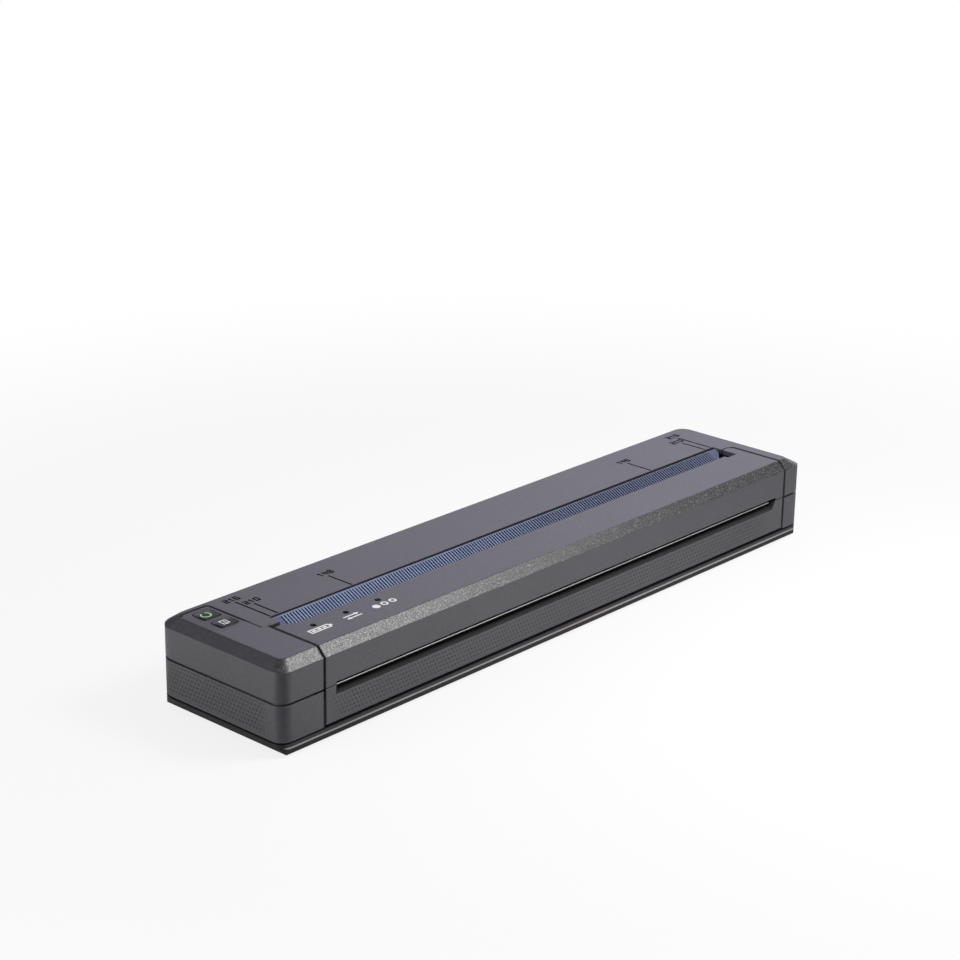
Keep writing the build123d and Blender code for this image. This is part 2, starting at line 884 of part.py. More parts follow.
def front_panel():
    """Lower part of the hinged cover, with the exit lip, the hinge lugs and the joining flanges."""
    top = cover_low - cover_parting_gap
    inner = front_face + wall
    panel = block(cover_left, cover_right, front_face, inner, case_bottom, top)
    slot_outline = [(slot_left, slot_bottom), (slot_right - slot_end_slant, slot_bottom),
                    (slot_right, top), (slot_left, top)]
    slot = Plane.XZ.offset(half_depth) * Polygon(*slot_outline, align=None)
    panel = panel - extrude(slot, wall, dir=(0, 1, 0))
    lip_edge = panel.edges().filter_by(Axis.X).group_by(Axis.Y)[0]
    lip_edge = [e for e in lip_edge if abs(e.center().Z - slot_bottom) < 0.01]
    panel = chamfer(lip_edge, slot_lip_chamfer)
    hinge_edge = panel.edges().filter_by(Axis.X).group_by(Axis.Z)[0].group_by(Axis.Y)[0]
    panel = fillet(hinge_edge, hinge_corner)
    shelf = block(slot_left, slot_right, inner, inner + panel_rib_depth,
                  slot_bottom - panel_lip_thickness, slot_bottom)
    panel = panel + shelf
    for x in spread(slot_left + cover_rib_margin, slot_right - cover_rib_margin, panel_rib_count):
        half = cover_rib_thickness / 2
        rib = block(x - half, x + half, inner, inner + panel_rib_depth, hinge_z + hinge_inset, slot_bottom)
        panel = panel + rib
    for x0 in lug_starts():
        lug = rod_along_x((hinge_y, hinge_z), hinge_inset - lug_gap, x0, x0 + lug_width)
        web = block(x0, x0 + lug_width, inner, inner + lug_web_depth, hinge_z, slot_bottom)
        panel = panel + lug + web
        panel = panel - rod_along_x((hinge_y, hinge_z), hinge_pin_radius, x0, x0 + lug_width)
    for x0 in flange_starts():
        low = slot_bottom - cover_flange_overlap
        flange = block(x0, x0 + cover_flange_width, inner, inner + cover_flange_thickness,
                       low, low + cover_flange_height)
        panel = panel + flange
    return panel


def lug_starts():
    """Left sides of the two hinge lugs."""
    return (cover_left, cover_right - lug_width)


def flange_starts():
    """Left sides of the two joining flanges."""
    return (cover_left + flange_margin, cover_right - flange_margin - cover_flange_width)


def cover_hinge_pins():
    """Two steel pins held in the cover lugs."""
    reach = cap_wall + lug_width - pin_end_gap
    left = rod_along_x((hinge_y, hinge_z), hinge_pin_radius, cap_left_face - reach, cover_left + lug_width)
    right = rod_along_x((hinge_y, hinge_z), hinge_pin_radius, cover_right - lug_width, cap_right_face + reach)
    return [left, right]


def tear_bar():
    """Bent steel strip: a flange behind the front wall and a blade that reaches the exit."""
    inner = front_face + wall
    blade_front = front_face + tear_bar_setback
    z0 = tear_bar_height
    t = tear_bar_thickness
    section = [
        (blade_front, z0),
        (inner + t, z0),
        (inner + t, z0 + t + tear_bar_flange),
        (inner, z0 + t + tear_bar_flange),
        (inner, z0 + t),
        (blade_front, z0 + t),
    ]
    return prism_along_x(section, slot_left + slot_end_margin, paper_right - tear_bar_end_gap)


def light_pipes():
    """Three clear pins that carry light through the cover."""
    pins = []
    half = led_size / 2
    for x in light_places:
        foot = block(x - half, x + half, light_y - half, light_y + half, roof - light_flange, roof)
        pins.append(foot + rod_up(x, light_y, light_radius, roof, body_height - guide_top_gap / 2))
    return pins


def status_board():
    """Strip of circuit board under the cover skin."""
    y0 = light_y - status_board_depth / 2
    z1 = roof - light_flange - led_height
    x0 = light_places[0] - status_board_margin
    x1 = light_places[-1] + status_board_margin
    strip = block(x0, x1, y0, y0 + status_board_depth, z1 - status_board_thickness, z1)
    for start in (x0, x1 - status_post):
        strip = strip + block(start, start + status_post, y0, y0 + status_board_depth, z1, roof)
    return strip


def status_leds():
    """Three small lamps on the strip."""
    z1 = roof - light_flange
    half = led_size / 2
    return [block(x - half, x + half, light_y - half, light_y + half, z1 - led_height, z1)
            for x in light_places]


# ---- paper guide ----
def guide_profile():
    """Corner points of the guide's upper face, from its rear edge to its lower tip."""
    rear = deck_front - deck_seam
    top = body_height - guide_top_gap
    ramp_start = (rear - guide_flat, top)
    ramp_fall = guide_ramp_run * tan(radians(guide_ramp_angle))
    ramp_end = (ramp_start[0] - guide_ramp_run, top - ramp_fall)
    tip_fall = guide_drop_run * tan(radians(guide_drop_angle))
    tip = (ramp_end[0] - guide_drop_run, ramp_end[1] - tip_fall)
    return [(rear, top), ramp_start, ramp_end, tip]


def lowered(point, angle, distance):
    """Point moved square to a slope, into the guide."""
    return (point[0] + distance * sin(radians(angle)), point[1] - distance * cos(radians(angle)))


def paper_guide():
    """Ramp that leads the paper under the cover, with fine ribs along the paper's way."""
    rear, ramp_start, ramp_end, tip = guide_profile()
    section = [
        rear,
        ramp_start,
        ramp_end,
        tip,
        lowered(tip, guide_drop_angle, guide_thickness),
        lowered(ramp_end, guide_mean_angle, guide_depth),
        lowered(ramp_start, guide_ramp_angle / 2, guide_depth),
        (rear[0], rear[1] - guide_depth),
    ]
    guide = prism_along_x(section, guide_left, guide_right)
    first = guide_left + guide_end_plain_left
    last = guide_right - guide_end_plain_right
    gap = rib_pitch - rib_width
    start = shifted_down_ramp(ramp_start, rib_setback)
    end = shifted_down_ramp(ramp_end, rib_end_setback)
    channel_section = [
        (start[0], start[1] + rib_height),
        (end[0], end[1] + rib_height),
        lowered(end, guide_ramp_angle, rib_height),
        lowered(start, guide_ramp_angle, rib_height),
    ]
    count = int((last - first) / rib_pitch)
    channels = [prism_along_x(channel_section, first + i * rib_pitch, first + i * rib_pitch + gap)
                for i in range(count)]
    guide = guide - channels
    cut_end = guide_right - guide_corner_cut
    cut_y = ramp_start[0] - guide_corner_setback
    corner = [(guide_right, cut_y), (guide_right, tip[0]), (cut_end, tip[0]),
              (cut_end, cut_y - guide_corner_cut)]
    return guide - prism_up(corner, base_top, body_height)


def shifted_down_ramp(point, run):
    """Point further down the ramp by a run in Y."""
    return (point[0] - run, point[1] - run * tan(radians(guide_ramp_angle)))


# ---- main frame ----
def main_frame():
    """Moulded chassis: rear beam, head shelf, side plates, exit guide and legs."""
    x0 = left_plate_outer
    x1 = right_plate_outer
    front_low = head_point(-shelf_ahead, -shelf_drop - shelf_thickness)
    front_high = head_point(-shelf_ahead, -shelf_drop)
    rear_high = head_point(shelf_behind, -shelf_drop)
    rear_low = head_point(shelf_behind, -shelf_drop - shelf_thickness)
    skirt_low = rear_low[1] - beam_skirt
    section = [
        front_low,
        front_high,
        rear_high,
        (beam_y, rear_high[1]),
        (beam_y, roof),
        (beam_back, roof),
        (beam_back, skirt_low),
        (beam_y, skirt_low),
        (beam_y, rear_low[1]),
        rear_low,
    ]
    frame = prism_along_x(section, x0, x1)
    exit_section = exit_guide_section()
    frame = frame + prism_along_x(exit_section, x0, x1)
    plate = side_plate_section()
    for start in (x0, x1 - side_plate):
        frame = frame + prism_along_x(plate, start, start + side_plate)
        frame = frame - rod_along_x(platen_centre, bushing_radius, start, start + side_plate)
        frame = frame - block(start, start + side_plate, platen_y - bushing_radius, platen_y + bushing_radius,
                              platen_z, roof)
    frame = frame - rod_along_x(idler_centre, idler_axle_radius, x0, x0 + side_plate)
    for x in frame_leg_places():
        leg = block(x - leg_width / 2, x + leg_width / 2, beam_y, beam_back, base_inner_floor, rear_low[1])
        frame = frame + leg
    for x in guide_bracket_places():
        frame = frame + guide_bracket(x)
    return frame


def frame_leg_places():
    """X of the legs under the rear beam."""
    return spread(left_plate_outer + leg_margin, right_plate_outer - leg_margin, leg_count)


def guide_bracket_places():
    """X of the brackets under the paper guide."""
    last = guide_right - guide_corner_cut - guide_bracket_margin
    return spread(guide_left + guide_bracket_margin, last, guide_bracket_count)


def guide_bracket(x):
    """Upright web that the paper guide rests on."""
    rear, ramp_start, ramp_end, tip = guide_profile()
    low = head_point(shelf_behind, -shelf_drop)[1]
    high = roof - deck_rib_depth - guide_bracket_gap
    corner = lowered(ramp_end, guide_mean_angle, guide_depth)
    points = [
        corner,
        lowered(ramp_start, guide_ramp_angle / 2, guide_depth),
        (rear[0], rear[1] - guide_depth),
        (rear[0], high),
        (beam_y, high),
        (beam_y, low),
        (corner[0], low),
    ]
    half = guide_bracket_thickness / 2
    return prism_along_x(points, x - half, x + half)


def exit_guide_section():
    """Outline of the beam that leads the paper from the head to the exit."""
    y0 = front_face + exit_guide_front
    y1 = y0 + exit_guide_length
    low = exit_guide_top - exit_guide_thickness
    return [(y0, low), (y0, exit_guide_top), (y1, exit_guide_top + exit_guide_drop), (y1, low)]


def side_plate_section():
    """Outline of a side plate: carries the platen, the exit guide and the gear axle."""
    y0 = front_face + exit_guide_front
    y1 = y0 + exit_guide_length
    top = roof - side_plate_roof_gap
    low = board_top + side_plate_board_gap
    return [
        (y0, exit_guide_top - exit_guide_thickness),
        (y0, exit_guide_top),
        (y1, exit_guide_top + exit_guide_drop),
        (y1, top - side_plate_fall / 2),
        (platen_y - bushing_radius - side_plate_shoulder, top),
        (platen_y + bushing_radius + side_plate_reach, top),
        (beam_y, top - side_plate_fall),
        (beam_back, top - side_plate_fall),
        (beam_back, low),
        (platen_y, low),
    ]


def platen_bushings():
    """Two flanged bushings in the side plates."""
    rings = []
    left = left_plate_outer
    right = right_plate_outer
    for start, flange_start in ((left, left - bushing_flange), (right - side_plate, right)):
        sleeve = rod_along_x(platen_centre, bushing_radius, start, start + side_plate)
        flange = rod_along_x(platen_centre, bushing_flange_radius, flange_start, flange_start + bushing_flange)
        bore = rod_along_x(platen_centre, shaft_radius + shaft_clearance, left - bushing_flange,
                           right + bushing_flange)
        rings.append(sleeve + flange - bore)
    return rings


# ---- platen ----
def platen_shaft():
    """Steel shaft through the roller, the bushings and the gear."""
    shaft = rod_along_x(platen_centre, shaft_radius, gear_left, right_plate_outer + bushing_flange + shaft_end)
    return chamfer(shaft.edges().filter_by(GeomType.CIRCLE), shaft_chamfer)


def platen_roller():
    """Rubber sleeve that drives the paper."""
    sleeve = rod_along_x(platen_centre, platen_radius, paper_left, paper_right)
    return sleeve - rod_along_x(platen_centre, shaft_radius, paper_left, paper_right)


# ---- gears ----
def tooth_half_angle(teeth, radius):
    """Half the angle that a tooth spans at a radius."""
    pitch = teeth * gear_module / 2
    base = pitch * cos(radians(pressure_angle))
    at_pitch = pi / (2 * teeth) - gear_backlash / (2 * pitch)
    return at_pitch + involute(pitch, base) - involute(radius, base)


def involute(radius, base):
    """Angle between the start of an involute and its point at a radius."""
    roll = sqrt(max((radius / base) ** 2 - 1, 0))
    return roll - atan2(roll, 1)


def gear_points(teeth, centre, turn):
    """Outline of an involute gear, with a tooth centred at the turn angle."""
    pitch = teeth * gear_module / 2
    tip = pitch + gear_addendum * gear_module
    root = pitch - gear_dedendum * gear_module
    radii = [root, pitch, tip]
    points = []
    for i in range(teeth):
        middle = turn + 2 * pi * i / teeth
        for radius in radii:
            angle = middle - tooth_half_angle(teeth, radius)
            points.append((centre[0] + radius * cos(angle), centre[1] + radius * sin(angle)))
        for radius in reversed(radii):
            angle = middle + tooth_half_angle(teeth, radius)
            points.append((centre[0] + radius * cos(angle), centre[1] + radius * sin(angle)))
    return points


def gear(teeth, centre, turn, bore):
    """Spur gear along X with a bore."""
    blank = prism_along_x(gear_points(teeth, centre, turn), gear_left, gear_left + gear_face)
    return blank - rod_along_x(centre, bore, gear_left, gear_left + gear_face)


platen_turn = radians(idler_direction)
idler_turn = radians(idler_direction) + pi + pi / idler_teeth
mesh_offset = radians(pinion_direction) - idler_turn
pinion_turn = radians(pinion_direction) + pi + mesh_offset * idler_teeth / pinion_teeth - pi / pinion_teeth


def platen_gear():
    """Gear on the platen shaft."""
    return gear(platen_teeth, platen_centre, platen_turn, shaft_radius)


def idler_gear():
    """Gear between the motor and the platen, free on its axle."""
    return gear(idler_teeth, idler_centre, idler_turn, idler_axle_radius + shaft_clearance)


def motor_pinion():
    """Gear on the motor shaft."""
    return gear(pinion_teeth, motor_centre, pinion_turn, motor_shaft_radius)


def idler_axle():
    """Steel axle of the idler gear, held in the left side plate, with a head that keeps the gear on."""
    head_start = gear_left - axle_play
    axle = rod_along_x(idler_centre, idler_axle_radius, head_start, left_plate_outer + side_plate)
    head = rod_along_x(idler_centre, axle_head_radius, head_start - axle_head, head_start)
    return axle + head


# ---- motor ----
def feed_motor():
    """Stepper motor in the left cap, bolted to the cap wall by its oval flange."""
    wall_face = cap_left_face - cap_wall
    can_end = wall_face - motor_flange
    y, z = motor_centre
    can = rod_along_x(motor_centre, motor_radius, can_end - motor_length, can_end)
    can = chamfer(can.edges().filter_by(GeomType.CIRCLE), motor_edge)
    plate = Plane.YZ.offset(can_end) * (Pos(y, z) * SlotOverall(2 * motor_flange_reach, motor_flange_height))
    plate = extrude(plate, motor_flange)
    boss = rod_along_x(motor_centre, motor_boss_radius, wall_face, wall_face + cap_wall)
    bore_end = can_end - motor_shaft_depth - shaft_clearance
    bore = rod_along_x(motor_centre, motor_shaft_radius + shaft_clearance, bore_end, wall_face + cap_wall)
    return can + plate + boss - bore


def motor_shaft():
    """Shaft between the motor and its pinion."""
    start = cap_left_face - cap_wall - motor_flange - motor_shaft_depth
    return rod_along_x(motor_centre, motor_shaft_radius, start, gear_left + gear_face)


# ---- print head ----
def head_slab(behind, ahead, low, high, end_margin):
    """Slab along the paper's width, placed from the head's face."""
    x0 = paper_left + end_margin
    x1 = paper_right - end_margin
    points = [head_point(behind, low), head_point(behind, high),
              head_point(-ahead, high), head_point(-ahead, low)]
    return prism_along_x(points, x0, x1)


def print_head():
    """Ceramic heater plate with the raised print line."""
    plate = head_slab(head_behind, head_ahead, -head_thickness, 0, 0)
    ridge = head_slab(head_ridge_half, head_ridge_half, 0, head_gap / 2, head_ridge_half)
    return plate + ridge


def head_driver_cover():
    """Sealed strip over the driver chips."""
    start = head_ahead - head_cover_width
    return head_slab(-start, head_ahead, 0, head_cover_height, head_cover_margin)


def head_heat_sink():
    """Aluminium plate that carries the heater plate, with channels along its underside."""
    low = -head_thickness - sink_thickness
    sink = head_slab(head_behind + sink_overhang, head_ahead + sink_overhang, low, -head_thickness, 0)
    for i in range(sink_channel_count):
        ahead = i * sink_channel_pitch
        sink = sink - head_slab(sink_channel_width - ahead, ahead, low, low + sink_channel_depth, 0)
    return sink


def head_springs():
    """Bent leaf springs between the shelf and the heat sink."""
    strips = []
    top = -head_thickness - sink_thickness
    low = -shelf_drop
    t = spring_strip
    heel = spring_foot - spring_front
    crown = spring_crown - spring_crown_length
    outline = [
        head_point(heel, low), head_point(heel, low + t), head_point(t - spring_front + t, low + t),
        head_point(spring_crown, top - t), head_point(spring_crown, top), head_point(crown, top),
        head_point(-spring_front, low + t), head_point(-spring_front, low),
    ]
    for x in spread(paper_left + spring_margin, paper_right - spring_margin, spring_count):
        strips.append(prism_along_x(outline, x - spring_width / 2, x + spring_width / 2))
    return strips


def head_cable():
    """Flat cable from the head, down behind the exit guide and along the board."""
    t = cable_thickness
    y0, z_high = head_point(-head_ahead - sink_overhang, -head_thickness - cable_thickness)
    y_bow = front_face + exit_guide_front + exit_guide_length + cable_gap
    y_end = main_board_front + connector_margin
    z_low = board_top
    z_bend = z_high - cable_fall
    x0 = paper_centre - connector_width / 2 + cable_side_gap
    x1 = paper_centre + connector_width / 2 - cable_side_gap
    outline = [
        (y0, z_high), (y_bow, z_bend), (y_bow, z_low), (y_end, z_low),
        (y_end, z_low + t), (y_bow + t, z_low + t), (y_bow + t, z_bend - t), (y0, z_high - t),
    ]
    return prism_along_x(outline, x0, x1)


# ---- boards ----
def board_standoffs():
    """Posts under the main board."""
    columns = (main_board_left + board_end_margin, paper_centre, cap_right_face - board_end_margin)
    rows = (main_board_front + standoff_inset, main_board_rear - standoff_inset)
    return [(x, y) for x in columns for y in rows]


def main_board():
    """Long circuit board under the print head."""
    return block(main_board_left, main_board_right, main_board_front, main_board_rear,
                 board_top - board_thickness, board_top)


def board_chips():
    """Packages on the main board."""
    chips = []
    y1 = main_board_rear - chip_rear_gap
    places = spread(main_board_left + chip_left_margin, main_board_right - chip_right_margin, len(chip_sizes))
    for x, (size_x, size_y, height) in zip(places, chip_sizes):
        chips.append(block(x - size_x / 2, x + size_x / 2, y1 - size_y, y1, board_top, board_top + height))
    return chips


def head_connector():
    """Socket of the flat cable on the main board."""
    x0 = paper_centre - connector_width / 2
    z = board_top
    y0 = main_board_front + connector_margin
    return block(x0, x0 + connector_width, y0, y0 + connector_depth, z, z + connector_height)


def usb_socket():
    """Small data socket with its hollow mouth."""
    z0 = board_top
    z1 = z0 + usb_height
    x1 = half_length - port_recess
    x0 = x1 - usb_length
    half = usb_width / 2
    inner = half - usb_shell
    middle = (z0 + z1) / 2
    body = block(x0, x1, usb_y - half, usb_y + half, z0, z1)
    mouth = block(x1 - usb_mouth, x1, usb_y - inner, usb_y + inner, z0 + usb_shell, z1 - usb_shell)
    tongue = block(x1 - usb_mouth, x1 - port_recess, usb_y - usb_tongue_width / 2, usb_y + usb_tongue_width / 2,
                   middle - usb_tongue_thickness / 2, middle + usb_tongue_thickness / 2)
    return body - mouth + tongue


def dc_jack():
    """Round power socket with its centre pin."""
    z0 = board_top
    x1 = main_board_right
    x0 = x1 - jack_length
    mouth = half_length - port_recess
    centre = (jack_y, z0 + jack_height / 2)
    body = block(x0, x1, jack_y - jack_width / 2, jack_y + jack_width / 2, z0, z0 + jack_height)
    body = body + rod_along_x(centre, jack_bore, x1, mouth)
    body = body - rod_along_x(centre, jack_bore - jack_wall, x0 + jack_wall, mouth)
    return body + rod_along_x(centre, jack_pin, x0, mouth - port_recess)


# ---- control keys ----
def key(y):
    """Key with rounded cap, hidden flange and stem."""
    length, depth = key_size(y)
    top = body_height + key_rise
    flange_top = roof - key_flange_gap
    cap = extrude(Plane.XY.offset(flange_top) * (Pos(key_x, y) * RectangleRounded(length, depth, key_corner)),
                  top - flange_top)
    cap = chamfer(cap.edges().group_by(Axis.Z)[-1], key_edge)
    flange = Rectangle(length + 2 * key_flange_reach, depth + 2 * key_flange_depth)
    flange = extrude(Plane.XY.offset(flange_top - key_flange) * (Pos(key_x, y) * flange), key_flange)
    stem_low = switch_top + key_travel + switch_gap
    stem = rod_up(key_x, y, key_stem_radius, stem_low, flange_top - key_flange)
    return cap + flange + stem


def power_button():
    """Power key."""
    return key(power_key_y)


def feed_button():
    """Paper feed key."""
    return key(feed_key_y)


def control_board_posts():
    """Posts that hang the control board from the roof."""
    middle = (power_key_y + feed_key_y) / 2
    return [(key_x - board_post_reach, middle), (key_x + board_post_reach, middle)]


def control_board():
    """Small board under the keys."""
    half = control_board_half
    margin = control_board_margin
    return block(key_x - half, key_x + half, feed_key_y - margin, power_key_y + margin,
                 control_board_top - board_thickness, control_board_top)


def control_switches():
    """Two push switches."""
    half = switch_size / 2
    tip = switch_plunger_width / 2
    units = []
    for y in (power_key_y, feed_key_y):
        can = block(key_x - half, key_x + half, y - half, y + half, control_board_top,
                    control_board_top + switch_height)
        plunger_low = control_board_top + switch_height
        plunger = block(key_x - tip, key_x + tip, y - tip, y + tip, plunger_low, switch_top)
        units.append(can + plunger)
    return units


# ---- sensor ----
def paper_sensor():
    """Light sensor under the paper guide."""
    ramp_end = guide_profile()[2]
    corner = lowered(ramp_end, guide_mean_angle, guide_depth)
    low = head_point(shelf_behind, -shelf_drop)[1]
    half = sensor_width / 2
    return block(sensor_x - half, sensor_x + half, corner[0], corner[0] + sensor_depth, low, corner[1])


def write_parts():
    """Build every piece and write its STEP file."""
    makers = (
        base_cover, lower_case, upper_case, paper_guide, main_frame, platen_bushings, idler_axle,
        feed_motor, print_head, head_driver_cover, head_heat_sink, head_springs, head_cable,
        head_connector, main_board, board_chips, usb_socket, dc_jack, control_board,
        control_switches, battery_pack, battery_contacts, paper_sensor, rubber_feet,
        release_cover, front_panel, tear_bar, light_pipes, status_board, status_leds,
        cover_hinge_pins, battery_door, battery_door_pins, power_button, feed_button,
        platen_roller, platen_shaft, platen_gear, idler_gear, motor_shaft, motor_pinion,
    )
    os.makedirs("parts", exist_ok=True)
    for maker in makers:
        piece = maker()
        if isinstance(piece, list):
            piece = Compound(children=piece)
        piece.label = maker.__name__
        export_step(piece, f"parts/{maker.__name__}.step")


write_parts()
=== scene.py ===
import bmesh
import bpy
import json
import math
import random
from mathutils import Matrix, Vector


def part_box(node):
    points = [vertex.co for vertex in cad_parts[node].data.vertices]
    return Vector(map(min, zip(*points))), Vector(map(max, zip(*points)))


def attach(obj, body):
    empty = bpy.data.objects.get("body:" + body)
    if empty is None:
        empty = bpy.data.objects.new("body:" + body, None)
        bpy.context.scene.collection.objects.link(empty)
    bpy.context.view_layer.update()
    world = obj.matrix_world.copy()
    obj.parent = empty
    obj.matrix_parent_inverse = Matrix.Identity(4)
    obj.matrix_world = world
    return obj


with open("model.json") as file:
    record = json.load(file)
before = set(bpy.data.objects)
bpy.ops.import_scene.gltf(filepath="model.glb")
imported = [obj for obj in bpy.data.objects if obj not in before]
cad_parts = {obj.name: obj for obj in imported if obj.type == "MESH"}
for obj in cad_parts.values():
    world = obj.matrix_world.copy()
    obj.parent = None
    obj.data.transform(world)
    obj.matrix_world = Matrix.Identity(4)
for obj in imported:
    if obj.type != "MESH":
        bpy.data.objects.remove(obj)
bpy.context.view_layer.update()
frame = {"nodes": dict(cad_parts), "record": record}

MM = 0.001


# ==== places read from the frame ====
def low(node):
    """Lowest corner of a node."""
    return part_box(node)[0]


def high(node):
    """Highest corner of a node."""
    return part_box(node)[1]


HALF_LENGTH = high("lower_case")[0]
HALF_DEPTH = high("lower_case")[1]
ROOF = high("upper_case")[2]
PARTING = high("lower_case")[2]
BASE_UNDERSIDE = low("base_cover")[2]
COVER_REAR = high("release_cover")[1]
SEAM_HALF = 0.3 * MM
SEAM_LEFT = low("release_cover")[0] - SEAM_HALF
SEAM_RIGHT = high("release_cover")[0] + SEAM_HALF
POWER_KEY_Y = (low("power_button")[1] + high("power_button")[1]) / 2
LED_HALF = (high("status_leds")[1] - low("status_leds")[1]) / 2
LIGHT_ROW = (low("status_leds")[1] + high("status_leds")[1]) / 2
LIGHT_FIRST = low("status_leds")[0] + LED_HALF
LIGHT_LAST = high("status_leds")[0] - LED_HALF
LIGHT_PLACES = (LIGHT_FIRST, (LIGHT_FIRST + LIGHT_LAST) / 2, LIGHT_LAST)


# ==== mesh helpers ====
def new_object(name, bm, material, body):
    """Mesh object from a bmesh, with one material, riding on a body."""
    mesh = bpy.data.meshes.new(name)
    bm.to_mesh(mesh)
    bm.free()
    piece = bpy.data.objects.new(name, mesh)
    bpy.context.scene.collection.objects.link(piece)
    piece.data.materials.append(material)
    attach(piece, body)
    return piece


def add_box(bm, x0, x1, y0, y1, z0, z1):
    """Adds a box to a bmesh."""
    made = bmesh.ops.create_cube(bm, size=1.0)
    size = Vector((x1 - x0, y1 - y0, z1 - z0))
    centre = Vector(((x0 + x1) / 2, (y0 + y1) / 2, (z0 + z1) / 2))
    bmesh.ops.scale(bm, vec=size, verts=made["verts"])
    bmesh.ops.translate(bm, vec=centre, verts=made["verts"])


def add_plate(bm, outline, z0, z1):
    """Adds a flat plate with the given outline, between two heights."""
    bottom = [bm.verts.new((x, y, z0)) for x, y in outline]
    top = [bm.verts.new((x, y, z1)) for x, y in outline]
    count = len(outline)
    bm.faces.new(list(reversed(bottom)))
    bm.faces.new(top)
    for i in range(count):
        j = (i + 1) % count
        bm.faces.new((bottom[i], bottom[j], top[j], top[i]))


def add_arc_band(bm, centre, radii, arc, heights, steps):
    """Adds part of a flat ring between two radii. The arc's two ends are in degrees."""
    loops = []
    for radius in radii:
        loop = []
        for i in range(steps + 1):
            angle = math.radians(arc[0] + (arc[1] - arc[0]) * i / steps)
            loop.append((centre[0] + radius * math.cos(angle), centre[1] + radius * math.sin(angle)))
        loops.append(loop)
    inside, outside = loops
    for i in range(steps):
        add_plate(bm, [inside[i], outside[i], outside[i + 1], inside[i + 1]], *heights)


